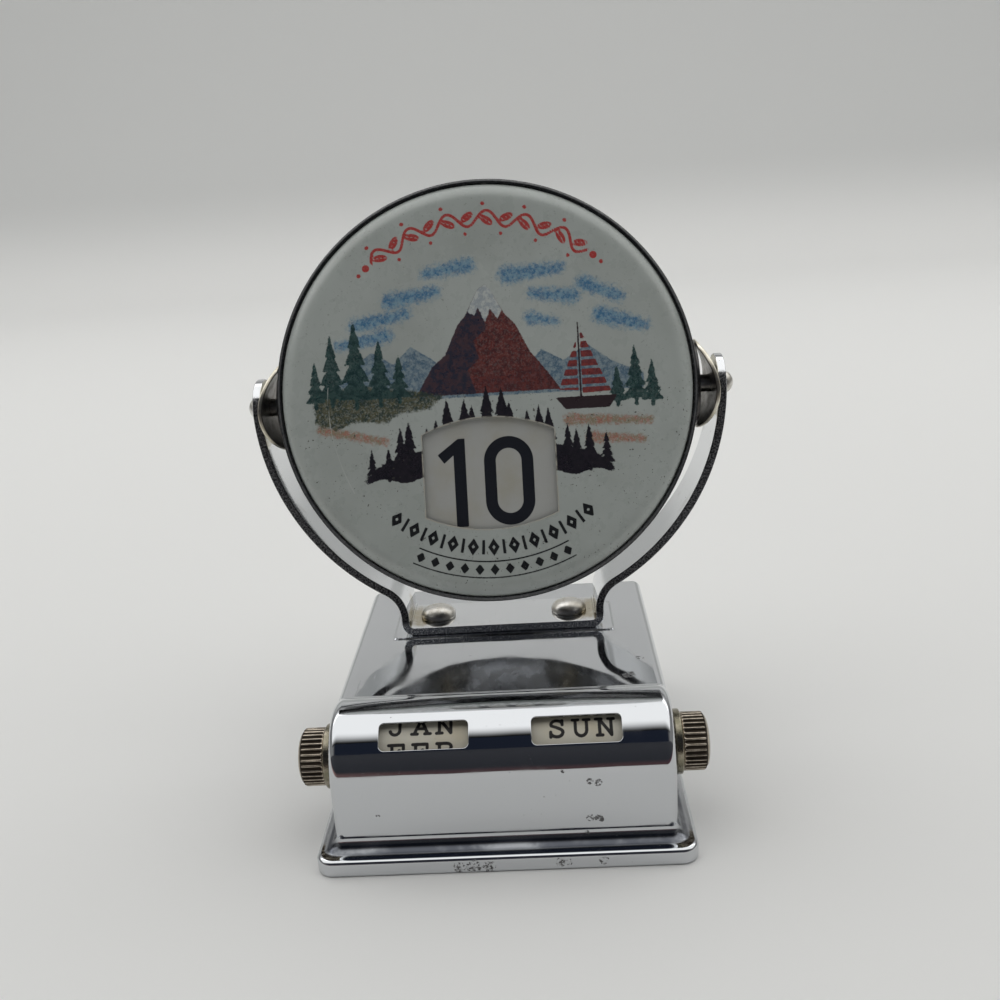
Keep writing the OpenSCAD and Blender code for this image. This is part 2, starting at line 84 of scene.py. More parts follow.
# bands and knobs, on the right-hand side
BAND_X0, BAND_X1 = reach("day_band", X)
BAND_R = half("day_band", Y)
BAND_IN = BAND_R - 0.13
KNOB_X0 = reach("day_knob", X)[0]
SKIRT_X, KNURL_X, KNOB_X1 = KNOB_X0 + 1.2, KNOB_X0 + 4.9, KNOB_X0 + 5.7
SKIRT_R = half("day_knob", Y)
KNURL_R, KNURLS, FLUTE = SKIRT_R - 0.55, 32, 0.3

# yoke, its rivets and the pivots
YOKE_HALF_W, YOKE_T, FOOT_HALF, FOOT_BEND, BEND_R, ARM_MID = half("yoke", Y), 1.4, 17.6, 0.8, 6.0, 39.53
FOOT_TOP, EAR_TOP = reach("yoke", Z)[0] + YOKE_T, reach("yoke", Z)[1]
RIVET_R, RIVET_H = 3.2, 2.0
RIVET_X = reach("yoke_rivets", X)[1] - RIVET_R
PIN_X, PIN_R, PIN_H, PIN_TAIL = ARM_MID + YOKE_T / 2 + 0.02, 1.9, 1.9, 0.8
PIN_END = reach("right_pivot_rivet", X)[0]
WASHER_X, WASHER_R, WASHER_H, WASHER_T = (reach("right_spring_washer", X)[0],
                                          half("right_spring_washer", Y), 3.15, 0.7)
WASHER_BOW = (WASHER_R ** 2 + WASHER_H ** 2) / (2 * WASHER_H)
WASHER_MIDDLE = WASHER_X + WASHER_H - WASHER_BOW
FLAT_X0, FLAT_X1 = reach("right_flat_washer", X)
FLAT_WASHER_R, FLAT_BORE = half("right_flat_washer", Y), 1.56

# drum, in its own frame, whose face looks along -Y
TILT = round(np.degrees(np.arcsin(JOINTS["tile_drop"]["axis"][Y])), 2)
HOOP_R, HOOP_T, HOOP_HALF, BEAD = reach("drum_hoop", X)[1], 0.5, 9.1, 0.4
FACE_Y, FACE_T, FLAT_R, FACE_R, MARGIN_DROP = -10.1, 0.4, 30.9, half("front_face", X) - 0.01, 1.0
WINDOW_HALF_W, WINDOW_HALF_H, WINDOW_BULGE, WINDOW_Z = 10.9, 9.2, 2.4, -13.7
TILE_HALF_W, TILE_HALF_H, TILE_T = half("front_date_tile", X), 11.0, 1.1
TILE_Y, TILE_PITCH, TILES = -9.45, 1.11, 16


# ---------- grids and meshes ----------
def joined(*values):
    """Numbers and arrays side by side, as the coordinates of points."""
    return np.stack(np.broadcast_arrays(*values), -1)


def grid_quads(rows, cols, closed_rows=False, closed_cols=False):
    """Corner numbers of the quads of a grid whose points are stored row by row."""
    r = np.arange(rows if closed_rows else rows - 1)
    c = np.arange(cols if closed_cols else cols - 1)
    r, c = np.meshgrid(r, c, indexing="ij")
    up, on = (r + 1) % rows, (c + 1) % cols
    return joined(r * cols + c, r * cols + on, up * cols + on, up * cols + c).reshape(-1, 4)


def patch(points, normals, closed_rows=False, closed_cols=False, keep=None):
    """A grid of points with its outward normals, or one for all; keep says which cells stay."""
    rows, cols = points.shape[:2]
    quads = grid_quads(rows, cols, closed_rows, closed_cols)
    if keep is not None:
        quads = quads[keep.ravel()]
    return points.reshape(-1, 3), quads, np.broadcast_to(normals, points.shape).reshape(-1, 3)


def mirrored(part):
    """The same patch on the other side of the plane x = 0."""
    flip = np.array([-1.0, 1.0, 1.0])
    return part[0] * flip, part[1], part[2] * flip


def reordered(part, order, shift=(0, 0, 0)):
    """The same patch with its coordinates in another order, then moved."""
    return part[0][:, order] + shift, part[1], part[2][:, order]


def offset(part, distance):
    """The inner skin of a sheet: the patch moved in along its normals, facing the other way."""
    return part[0] - part[2] * distance, part[1], -part[2]


def welded(parts, step=2e-4):
    """Joins patches into one surface: points closer than step become one with the mean normal."""
    counts = np.cumsum([0] + [len(p[0]) for p in parts])
    points = np.concatenate([p[0] for p in parts])
    normals = np.concatenate([p[2] for p in parts])
    quads = np.concatenate([p[1] + n for p, n in zip(parts, counts)])
    keys = np.floor(points / step + 0.137).astype(np.int64)
    _, first, index = np.unique(keys, axis=0, return_index=True, return_inverse=True)
    index = index.ravel()
    total = np.zeros((len(first), 3))
    np.add.at(total, index, normals)
    total /= np.maximum(np.linalg.norm(total, axis=1, keepdims=True), 1e-12)
    return points[first], index[quads], total


def outward(points, quads, normals):
    """Turns each quad to agree with its points' normals."""
    diagonals = np.cross(points[quads[:, 2]] - points[quads[:, 0]],
                         points[quads[:, 3]] - points[quads[:, 1]])
    wrong = (diagonals * normals[quads].sum(1)).sum(1) < 0
    quads[wrong] = quads[wrong][:, ::-1]
    return quads


def sorted_faces(quads):
    """Whole quads, and the triangles left of quads that have lost a side."""
    same = quads == np.roll(quads, -1, axis=1)
    across = (quads[:, 0] == quads[:, 2]) | (quads[:, 1] == quads[:, 3])
    lost = same.sum(1)
    thirds = (lost == 1) & ~across
    return quads[(lost == 0) & ~across], quads[thirds][~same[thirds]].reshape(-1, 3)


def mesh_of(name, points, quads, normals):
    """A smooth mesh of these points, in millimetres, that keeps the computed normals."""
    whole, thirds = sorted_faces(outward(points, quads, normals))
    mesh = bpy.data.meshes.new(name)
    mesh.vertices.add(len(points))
    mesh.vertices.foreach_set("co", (points * MM).astype(np.float32).ravel())
    corners = np.concatenate([whole.ravel(), thirds.ravel()]).astype(np.int32)
    starts = np.concatenate([np.arange(len(whole)) * 4,
                             len(whole) * 4 + np.arange(len(thirds)) * 3]).astype(np.int32)
    mesh.loops.add(len(corners))
    mesh.loops.foreach_set("vertex_index", corners)
    mesh.polygons.add(len(starts))
    mesh.polygons.foreach_set("loop_start", starts)
    mesh.polygons.foreach_set("use_smooth", np.ones(len(starts), bool))
    mesh.update(calc_edges=True)
    mesh.validate()
    mesh.normals_split_custom_set_from_vertices(normals.astype(np.float32))
    return mesh


def build(name, parts, body, material, node, place=None, values=None):
    """Makes one piece from patches: welds them, works out the values that its points carry, places
    the points, and lets the piece ride on its body in the place of a CAD node."""
    points, quads, normals = welded(parts)
    marks = values(points) if values else {}
    if place:
        points, normals = place(points), place(normals, True)
    mesh = mesh_of(name, points, quads, normals)
    for key, value in marks.items():
        layer = mesh.attributes.new(key, "FLOAT", "POINT")
        layer.data.foreach_set("value", value.astype(np.float32))
    mesh.materials.append(material)
    piece = bpy.data.objects.new(name, mesh)
    bpy.context.scene.collection.objects.link(piece)
    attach(piece, body)
    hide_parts(node)


def turn(points, degrees):
    """Points turned about the X axis; a positive angle lifts the back."""
    c, s = np.cos(np.radians(degrees)), np.sin(np.radians(degrees))
    x, y, z = points[..., 0], points[..., 1], points[..., 2]
    return joined(x, y * c - z * s, y * s + z * c)


def in_drum(points, direction=False):
    """From the drum's own frame, whose face looks along -Y, to the object's frame."""
    turned = turn(points, -TILT)
    return turned if direction else turned + np.array([0, YOKE_Y, PIVOT_Z])


def in_turned_drum(points, direction=False):
    """The same for the back face, which is the front one turned over."""
    return in_drum(turn(points, 180), direction)


def mover(y, z, side=1):
    """Places a piece whose axis lies along X: at y and z, and mirrored to the left if side is -1."""
    def place(points, direction=False):
        moved = points if direction else points + np.array([0, y, z])
        return moved * np.array([side, 1.0, 1.0])
    return place


def arc(cx, cy, r, start, stop, steps):
    """Points on a circle from one direction to another, in degrees, and their radial normals."""
    a = np.radians(np.linspace(start, stop, steps + 1))
    normal = joined(np.cos(a), np.sin(a))
    return np.array([cx, cy]) + r * normal, normal


def profile_normals(profile, closed=False):
    """The normals of an outline: its direction at each point turned by a right angle clockwise."""
    if closed:
        along = np.roll(profile, -1, 0) - np.roll(profile, 1, 0)
    else:
        along = np.gradient(profile, axis=0)
    normal = joined(along[:, 1], -along[:, 0])
    return normal / np.maximum(np.linalg.norm(normal, axis=1, keepdims=True), 1e-12)


def revolved(profile, steps, closed=False):
    """A turned surface about +X: each point (x, r) of the outline is carried round a full circle."""
    a = np.linspace(0, 2 * np.pi, steps, endpoint=False)
    points, normals = (joined(line[:, 0:1], line[:, 1:2] * np.cos(a), line[:, 1:2] * np.sin(a))
                       for line in (profile, profile_normals(profile, closed)))
    return patch(points, normals, closed_rows=closed, closed_cols=True)


# ---------- materials ----------
class Wire:
    """What one node passes on to others; arithmetic on it adds Math nodes."""

    def __init__(self, nodes, socket):
        self.nodes, self.socket = nodes, socket

    def math(self, operation, other=0.0):
        return self.nodes.add("Math", {0: self, 1: other}, operation=operation)

    def __add__(self, other):
        return self.math("ADD", other)

    def __sub__(self, other):
        return self.math("SUBTRACT", other)

    def __mul__(self, other):
        return self.math("MULTIPLY", other)

    def most(self, other):
        return self.math("MAXIMUM", other)

    def span(self, low, high, to_low=0.0, to_high=1.0):
        """The number mapped from low..high to to_low..to_high, smoothly and held at the ends."""
        inputs = {"Value": self, "From Min": low, "From Max": high, "To Min": to_low, "To Max": to_high}
        return self.nodes.add("MapRange", inputs, interpolation_type="SMOOTHSTEP")


class Nodes:
    """A node tree that is being filled."""

    def __init__(self, tree):
        self.tree = tree

    def put(self, socket, value):
        """Gives a socket a wire or a value."""
        if isinstance(value, Wire):
            self.tree.links.new(value.socket, socket)
        else:
            socket.default_value = value

    def add(self, kind, inputs, output=0, **settings):
        """Adds a node with these inputs and settings, and returns a wire from one of its outputs."""
        made = self.tree.nodes.new("ShaderNode" + kind)
        for key, value in settings.items():
            setattr(made, key, value)
        for key, value in inputs.items():
            self.put(made.inputs[key], value)
        return Wire(self, made.outputs[output])

    @cached_property
    def here(self):
        return self.add("TexCoord", {}, "Object")

    def along(self, axis):
        """The coordinate on the axis of that name, in metres."""
        return self.add("SeparateXYZ", {0: self.here}, axis)

    def mark(self, name):
        """The value that the surface carries under that name."""
        return self.add("Attribute", {}, "Fac", attribute_name=name)

    def mixed(self, factor, a, b):
        """Colour a where the factor is 0 and b where it is 1."""
        a, b = (colour if isinstance(colour, Wire) else (*colour, 1) for colour in (a, b))
        return self.add("Mix", {0: factor, 6: a, 7: b}, 2, data_type="RGBA")

    def noise(self, size, detail=2.0, rough=0.5, stretch=(1, 1, 1), shift=(0, 0, 0)):
        """Noise whose features are about size millimetres across, times stretch on each axis."""
        scale = tuple(1 / s for s in stretch)
        at = self.add("Mapping", {"Vector": self.here, "Scale": scale, "Location": shift})
        inputs = {"Vector": at, "Scale": 1000 / size, "Detail": detail, "Roughness": rough}
        return self.add("TexNoise", inputs, "Fac")

    def near(self, place, full, none):
        """1 up to the first distance from a place and 0 beyond the second, in millimetres."""
        inputs = {0: self.here, 1: tuple(c * MM for c in place)}
        far = self.add("VectorMath", inputs, "Value", operation="DISTANCE")
        return far.span(full * MM, none * MM, 1.0, 0.0)

    def spots(self, places):
        """1 inside a ragged blot round each of the places (x, y, z, radius in mm), 0 elsewhere."""
        ragged = self.noise(0.55, 4, 0.75)
        blots = [(self.near(place, radius / 2, radius) * ragged).span(0.47, 0.56, 0.0, 0.85)
                 for *place, radius in places]
        return reduce(Wire.most, blots)


class Finish(Nodes):
    """A material that is being made; made is the material, and shader its one shader."""

    def __init__(self, name, colour, metallic, roughness, **more):
        self.made = bpy.data.materials.new(name)
        self.made.use_nodes = True
        super().__init__(self.made.node_tree)
        self.shader = self.tree.nodes["Principled BSDF"]
        self.set(Base_Color=(*colour, 1), Metallic=metallic, Roughness=roughness, **more)

    def set(self, **inputs):
        """Gives the shader's sockets a wire or a value; an underscore stands for a space."""
        for key, value in inputs.items():
            self.put(self.shader.inputs[key.replace("_", " ")], value)

    def bump(self, height, distance, below=None):
        """Feeds a height, in millimetres times distance, to the shader's normal, over a bump below."""
        inputs = {"Height": height, "Distance": distance * MM, "Strength": 1.0}
        if below:
            inputs["Normal"] = below
        normal = self.add("Bump", inputs)
        self.set(Normal=normal)
        return normal


# the last colour is painted shade, for the hollow side of the bent washers
PLATE, DIRT, PAINTED_SHADE = (0.72, 0.735, 0.75), (0.06, 0.055, 0.05), (0.05, 0.042, 0.034)
INK, FIBRE, YELLOWED = (0.012, 0.014, 0.022), (0.35, 0.33, 0.28), (0.93, 0.89, 0.80)
BASE_DAMAGE = (
    # x, y, z and radius of each dark spot
    (13.4, -28.4, 12.9, 1.0), (14.6, -28.4, 12.7, 1.1), (13.2, -28.4, 6.5, 1.1), (14.6, -28.4, 6.3, 1.2),
    (8.3, -32.0, 1.3, 1.3), (9.6, -32.0, 1.3, 1.0), (14.9, -32.0, 1.4, 1.3), (-7.2, -32.0, 1.1, 1.6),
    (-5.0, -32.0, 1.1, 2.0), (-2.6, -32.0, 1.0, 1.8), (-19.6, -28.4, 8.3, 0.6), (9.3, -28.4, 14.9, 0.6),
    (12.6, -28.4, 3.9, 0.7), (21.0, -12.0, 22.2, 1.8), (23.4, -6.0, 22.2, 1.2))


def base_chrome():
    """Worn bright plating: faint waves of the pressed sheet, haze, fine scratches, dark pits and spots,
    and grime with painted shade in the cove's hollow, where the shell carries a value for it."""
    tint = (0.62, 0.635, 0.655)
    look = Finish("base_plating", tint, 1.0, 0.05)
    haze = look.noise(9, 5, 0.6).span(0.42, 0.72)
    straight = look.noise(0.9, 3, 0.7, (1, 14, 1)).span(0.69, 0.74)
    slanting = look.noise(0.7, 3, 0.7, (18, 1, 2), (3, 1, 2)).span(0.70, 0.75)
    lines = straight.most(slanting)
    pits = look.noise(0.55, 2, 0.6).span(0.735, 0.77) * look.noise(12, 3).span(0.5, 0.62)
    dark = pits.most(look.spots(BASE_DAMAGE))
    # grime and painted shade: a dark navy tone in the hollow of the cove
    hollow = look.mark("grime") * haze.span(0, 1, 0.95, 0.6)
    colour = look.mixed(hollow, tint, (0.055, 0.06, 0.075))
    rough = haze.span(0, 1, 0.055, 0.13) + lines * 0.14 + dark * 0.45 + hollow * 0.15
    look.set(Base_Color=look.mixed(dark, colour, DIRT), Roughness=rough)
    waves = look.bump(look.noise(14, 1.5), 0.15)
    look.bump(dark + lines * 0.3, -0.01, waves)
    return look.made


def hoop_tin():
    """Dull tinned band whose rolled edges are dark with wear, old dirt and painted shade, and lighter
    along their crests with a painted highlight.
    """
    tin = (0.19, 0.192, 0.198)
    look = Finish("hoop_tin", tin, 1.0, 0.30)
    cloud, grit = look.noise(3, 5, 0.65), look.noise(0.4, 4, 0.75)
    body = look.mixed(cloud.span(0.35, 0.7), tin, (0.15, 0.15, 0.148))
    # the rolled edges: dark with dirt and painted shade
    edge = look.mixed(grit.span(0.52, 0.74), (0.045, 0.046, 0.05), (0.22, 0.22, 0.22))
    # painted highlight: a lighter line along the crest of each rolled edge
    crest = look.mark("crest")
    edge = look.mixed(crest * grit.span(0.25, 0.55, 0.45, 1.0), edge, (0.36, 0.365, 0.36))
    look.set(Base_Color=look.mixed(look.mark("rolled"), body, edge),
             Roughness=cloud.span(0.3, 0.7, 0.22, 0.34) + crest * 0.25)
    look.bump(grit, 0.03)
    return look.made


def yoke_chrome():
    """Bright strip with dark, rough, speckled sheared edges, a few pits, and tarnish by its rivets."""
    look = Finish("yoke_plating", PLATE, 1.0, 0.08)
    grit = look.noise(0.35, 4, 0.75)
    torn = (look.mark("sheared") + grit * 0.5).span(0.88, 1.12)
    burr = look.mixed(grit.span(0.40, 0.68), (0.03, 0.031, 0.035), (0.31, 0.31, 0.32))
    pits = look.noise(0.6, 2, 0.6).span(0.71, 0.75) * look.noise(8, 2).span(0.42, 0.58)
    stain = look.noise(5, 4, 0.6).span(0.60, 0.78, 0.0, 0.35)
    plate = look.mixed(stain, PLATE, (0.30, 0.29, 0.27))
    beside_rivet = 15.0
    for x in (-beside_rivet, beside_rivet):
        near = look.near((x, YOKE_Y, FOOT_TOP), 2.0, 7.5)
        tarnish = (near * look.noise(1.8, 5, 0.7)).span(0.18, 0.5, 0.0, 0.9)
        plate = look.mixed(tarnish, plate, (0.42, 0.37, 0.27))
    plate = look.mixed(pits, plate, DIRT)
    rough = grit.span(0.3, 0.8, 0.05, 0.13) + torn * 0.33 + pits * 0.4
    look.set(Base_Color=look.mixed(torn, plate, burr), Roughness=rough)
    waves = look.bump(look.noise(9, 1.5), 0.02)
    look.bump(torn * grit, 0.12, waves)
    return look.made


def aged_metal(name, bright, dull, grime, rough):
    """Plating worn by handling: bright and dull areas, with grime in the fine hollows, and painted shade
    wherever the piece carries a value for it, such as the hollow side of a bent washer."""
    look = Finish(name, bright, 1.0, rough[0])
    cloud = look.noise(2.2, 5, 0.65).span(0.35, 0.7)
    specks = look.noise(0.3, 4, 0.7).span(0.58, 0.72)
    colour = look.mixed(specks, look.mixed(cloud, bright, dull), grime)
    # painted shade, darkest where the piece carries a value for it
    colour = look.mixed(look.mark("grime") * 0.88, colour, PAINTED_SHADE)
    look.set(Base_Color=colour, Roughness=(cloud + specks * 0.6).span(0, 1.4, *rough))
    look.bump(look.noise(0.5, 4, 0.6), 0.02)
    return look.made


def knob_nickel():
    """Brown worn nickel: grime fills the flutes and wears off the crests and the domed end, and the
    skirt has an olive tarnish."""
    look = Finish("knob_plating", (0.48, 0.44, 0.38), 1.0, 0.28)
    cloud = look.noise(1.6, 4, 0.6)
    crest = look.mixed(cloud.span(0.35, 0.7), (0.56, 0.495, 0.41), (0.34, 0.295, 0.235))
    deep = (look.mark("flute") + cloud * 0.3).span(0.30, 0.72)
    olive = look.mark("skirt") * cloud.span(0.3, 0.7, 0.55, 0.95)
    crest = look.mixed(olive, crest, (0.19, 0.18, 0.125))
    look.set(Base_Color=look.mixed(deep, crest, (0.055, 0.044, 0.034)),
             Roughness=deep.span(0, 1, 0.24, 0.6))
    look.bump(look.noise(0.4, 4, 0.7), 0.03)
    return look.made


def printed(look, under, name, colour, shade, ragged, soft, grain):
    """One printed colour over another: where the signed distance in the attribute is below 0,
    with a ragged brushed edge, a second shade in patches, and a grain that lets specks through."""
    edge = (look.noise(0.55, 3, 0.7) - 0.5) * (ragged * 2)
    ink = (look.mark(name) + edge).span(-soft, soft, 1.0, 0.0)
    if grain:
        ink = ink * look.noise(0.32, 2, 0.7).span(0.40 - grain * 0.1, 0.52, 1 - grain, 1.0)
    if shade:
        colour = look.mixed(look.noise(0.8, 4, 0.75).span(0.42, 0.58), colour, shade)
    return look.mixed(ink, under, colour)


INKS = (
    # attribute, colour, second shade, raggedness and softness in mm, grain
    ("cloud", (0.070, 0.19, 0.34), (0.22, 0.36, 0.46), 1.5, 0.75, 0.25),
    ("ridge", (0.10, 0.17, 0.24), (0.25, 0.32, 0.36), 0.25, 0.10, 0.25),
    ("peak", (0.165, 0.045, 0.040), (0.085, 0.026, 0.028), 0.22, 0.08, 0.12),
    ("shadow", (0.028, 0.032, 0.055), (0.075, 0.045, 0.055), 0.30, 0.08, 0.08),
    ("snow", (0.56, 0.59, 0.57), (0.38, 0.42, 0.45), 0.30, 0.08, 0.0),
    ("earth", (0.42, 0.20, 0.15), (0.30, 0.26, 0.18), 1.0, 0.40, 0.55),
    ("grass", (0.04, 0.06, 0.05), (0.12, 0.12, 0.075), 0.8, 0.25, 0.35),
    ("pine", (0.018, 0.048, 0.048), (0.045, 0.09, 0.085), 0.32, 0.08, 0.12),
    ("sail", (0.26, 0.05, 0.045), (0.16, 0.035, 0.04), 0.12, 0.06, 0.05),
    ("hull", (0.040, 0.026, 0.030), None, 0.12, 0.06, 0.0),
    ("wood", (0.014, 0.013, 0.019), (0.022, 0.018, 0.026), 0.30, 0.07, 0.0),
    ("vine", (0.46, 0.055, 0.05), None, 0.05, 0.06, 0.10),
    ("border", (0.014, 0.015, 0.017), None, 0.04, 0.05, 0.0),
)


def enamel():
    """Old pale enamel with its print, a few scratches, rust specks and a worn window edge, and bare
    metal inside."""
    ground = (0.475, 0.51, 0.485)
    look = Finish("printed_enamel", ground, 0.0, 0.3, IOR=1.45, Coat_Weight=0.5, Coat_Roughness=0.09)
    colour = look.mixed(look.noise(16, 4, 0.6).span(0.35, 0.7), ground, (0.415, 0.445, 0.42))
    for ink in INKS:
        colour = printed(look, colour, *ink)
    lower = look.mark("height").span(-6, 6, 1.0, 0.35)
    specks = look.noise(0.42, 2, 0.6).span(0.655, 0.71) * look.noise(6, 3).span(0.40, 0.54) * lower
    scratch = look.mark("scratch").span(0.05, 0.10, 0.55, 0.0)
    worn = look.mark("opening").span(0.10, 0.30, 1.0, 0.0) * look.noise(1.2, 3).span(0.38, 0.55, 0.35, 1.0)
    inside = look.mark("inside")
    for where, tone in ((specks, (0.07, 0.065, 0.055)), (scratch, (0.62, 0.64, 0.61)),
                        (worn, (0.46, 0.44, 0.38)), (inside, (0.34, 0.34, 0.335))):
        colour = look.mixed(where, colour, tone)
    damage = specks + scratch
    rough = look.noise(2.5, 5, 0.6).span(0.3, 0.7, 0.24, 0.36) + damage * 0.3
    look.set(Base_Color=colour, Metallic=inside, Roughness=rough)
    waves = look.bump(look.noise(11, 2), 0.03)
    look.bump(damage + look.noise(0.25, 3), -0.006, waves)
    return look.made


def card(name, paper, ink=None, ragged=0.02):
    """Card or paper, with faint fibres, a little yellowing and, if it has an ink, dark print."""
    look = Finish(name, paper, 0.0, 0.7, Specular_IOR_Level=0.3)
    fibre = look.noise(0.5, 4, 0.7, (3, 1, 1))
    aged = tuple(c * f for c, f in zip(paper, YELLOWED))
    colour = look.mixed(look.noise(6, 4).span(0.4, 0.75), paper, aged)
    colour = look.mixed(fibre.span(0.60, 0.80, 0.0, 0.25), colour, FIBRE)
    if ink:
        colour = printed(look, colour, "ink", ink, None, ragged, 0.045, 0.0)
    look.set(Base_Color=colour, Roughness=fibre.span(0.3, 0.7, 0.45, 0.65))
    look.bump(fibre, 0.012)
    return look.made


def plain(name, colour, second, metallic, roughness, size, depth):
    """A hidden or minor part's finish: two close colours in patches, uneven gloss and fine grain."""
    look = Finish(name, colour, metallic, roughness)
    patches = look.noise(size, 4, 0.65)
    look.set(Base_Color=look.mixed(patches.span(0.35, 0.68), colour, second),
             Roughness=patches.span(0.3, 0.75, roughness * 0.8, roughness * 1.3))
    look.bump(look.noise(size * 0.3, 4, 0.7), depth)
    return look.made


# ---------- base shell ----------
WALL_ROWS, NOSE_ROWS, SLOT_COLS, CORNER_STEPS, HALF_CORNER = 12, (20, 18, 30), 26, 12, 5
SLOT_SPREAD_A, SLOT_SPREAD_X, PAD_FALL = 20, 7.8, 0.8
SLOT_A = (SLOT_ANGLE - SLOT_SPREAD_A, SLOT_ANGLE + SLOT_SPREAD_A)
SLOT_PATCH_X = (SLOT_X - SLOT_SPREAD_X, SLOT_X + SLOT_SPREAD_X)
SLOT_ROWS = slice(WALL_ROWS + NOSE_ROWS[0], WALL_ROWS + NOSE_ROWS[0] + NOSE_ROWS[1])


def side_rows():
    """The shell's side outline as rows of y, z, ny, nz: up the front wall, round the nose, through a
    small hollow at the crease, along the deck, round the back edge and down the back wall."""
    def straight(y0, z0, y1, z1, steps, ny, nz):
        t = np.linspace(0, 1, steps + 1)
        return joined(y0 + (y1 - y0) * t, z0 + (z1 - z0) * t, ny, nz)

    def nose(a0, a1, steps):
        return np.hstack(arc(NOSE_Y, NOSE_Z, NOSE_R, 180 - a0, 180 - a1, steps))

    rise = DECK_Z + CREASE - NOSE_Z
    crease_y = NOSE_Y + np.sqrt((NOSE_R + CREASE) ** 2 - rise ** 2)
    crease_a = 180 - np.degrees(np.arctan2(rise, crease_y - NOSE_Y))
    pad = [YOKE_Y + end * PAD_HALF_Y + side * PAD_FALL for end in (-1, 1) for side in (-1, 1)]
    stops = [crease_y, *pad, WALL_BACK - EDGE]
    parts = [
        straight(WALL_FRONT, COVE_TOP, WALL_FRONT, NOSE_Z, WALL_ROWS, -1, 0),
        nose(0, SLOT_A[0], NOSE_ROWS[0]), nose(*SLOT_A, NOSE_ROWS[1]),
        nose(SLOT_A[1], crease_a, NOSE_ROWS[2]),
        np.hstack(arc(crease_y, DECK_Z + CREASE, -CREASE, 180 - crease_a, 90, 8)),
        *(straight(y0, DECK_Z, y1, DECK_Z, n, 0, 1)
          for y0, y1, n in zip(stops, stops[1:], (26, 16, 12, 16, 10))),
        np.hstack(arc(WALL_BACK - EDGE, DECK_Z - EDGE, EDGE, 90, 0, CORNER_STEPS)),
        straight(WALL_BACK, DECK_Z - EDGE, WALL_BACK, COVE_TOP, WALL_ROWS, 1, 0),
    ]
    return np.concatenate([parts[0]] + [p[1:] for p in parts[1:]])


def columns():
    """The x of each column of the top sheet, closer together at the label window and the pad's edge."""
    stops = (0, *SLOT_PATCH_X, PAD_HALF_X + PAD_FALL, WALL_X - EDGE)
    right = np.concatenate([np.linspace(x0, x1, n + 1)[1:]
                            for x0, x1, n in zip(stops, stops[1:], (7, SLOT_COLS, 14, 7))])
    return np.concatenate([-right[::-1], [0.0], right])


def pad_height(x, y):
    """The pressed pad under the yoke: full inside a rounded oblong, falling smoothly to 0 at its edge."""
    qx = np.abs(x) - PAD_HALF_X + PAD_CORNER
    qy = np.abs(y - YOKE_Y) - PAD_HALF_Y + PAD_CORNER
    outside = np.hypot(np.maximum(qx, 0), np.maximum(qy, 0)) + np.minimum(np.maximum(qx, qy), 0)
    t = np.clip((PAD_CORNER - outside) / PAD_SLOPE, 0, 1)
    return PAD_H * t * t * (3 - 2 * t)


def top_sheet(rows, xs):
    """The sheet between the rounded side edges, swept straight across, with the pad pressed up and
    an oblong left out for each label window."""
    x, y = np.meshgrid(xs, rows[:, 0])
    z, ny, nz = (rows[:, i:i + 1] for i in (1, 2, 3))
    flat = nz > 0.9999
    step = 0.01
    lift = np.where(flat, pad_height(x, y), 0)
    dx = np.where(flat, pad_height(x + step, y) - pad_height(x - step, y), 0) / (2 * step)
    dy = np.where(flat, pad_height(x, y + step) - pad_height(x, y - step), 0) / (2 * step)
    normals = joined(-dx, ny - dy, nz)
    normals /= np.linalg.norm(normals, axis=2, keepdims=True)
    middle = np.abs((xs[1:] + xs[:-1]) / 2)
    keep = np.ones((len(rows) - 1, len(middle)), bool)
    keep[SLOT_ROWS, (middle > SLOT_PATCH_X[0]) & (middle < SLOT_PATCH_X[1])] = False
    return patch(joined(x, y, z + lift), normals, keep=keep)


def side_edge(rows):
    """The rounded right-hand edge: a quarter circle carried along the side outline, bending inwards."""
    phi = np.radians(np.linspace(0, 90, CORNER_STEPS + 1))
    s, c = np.sin(phi), np.cos(phi)
    y, z, ny, nz = (rows[:, i:i + 1] for i in range(4))
    drop = EDGE * (1 - c)
    return patch(joined(WALL_X - EDGE + EDGE * s, y - ny * drop, z - nz * drop), joined(s, ny * c, nz * c))


def side_wall(rows):
    """The flat right-hand wall: upright strips from the side outline, moved in, to the cove."""
    upper = rows[WALL_ROWS:len(rows) - WALL_ROWS]
    top = upper[:, :2] - upper[:, 2:] * EDGE
    t = np.linspace(0, 1, WALL_ROWS + 1)
    z = top[:, 1:2] * (1 - t) + COVE_TOP * t
    return patch(joined(WALL_X, top[:, 0:1], z), [1.0, 0, 0]), top[:, 0]


def foot_plan(xs, side_y):
    """The way round the shell's foot. Each stop holds x or its side's sign, y, the direction out, and
    -1, 0 or 1 for front, side and back."""
    phi = np.radians(np.linspace(0, 90, CORNER_STEPS + 1))
    s, c = np.sin(phi), np.cos(phi)
    front = joined(xs, 0, 0, -1, -1)
    right = np.concatenate([joined(1, 1, s, -c, -1)[1:-1], joined(1, side_y, 1, 0, 0),
                            joined(1, 1, s, c, 1)[::-1][1:-1]])
    back = front[::-1] * np.array([1, 1, 1, -1, -1])
    left = (right * np.array([-1, 1, -1, 1, 1]))[::-1]
    return np.concatenate([front, right, back, left])


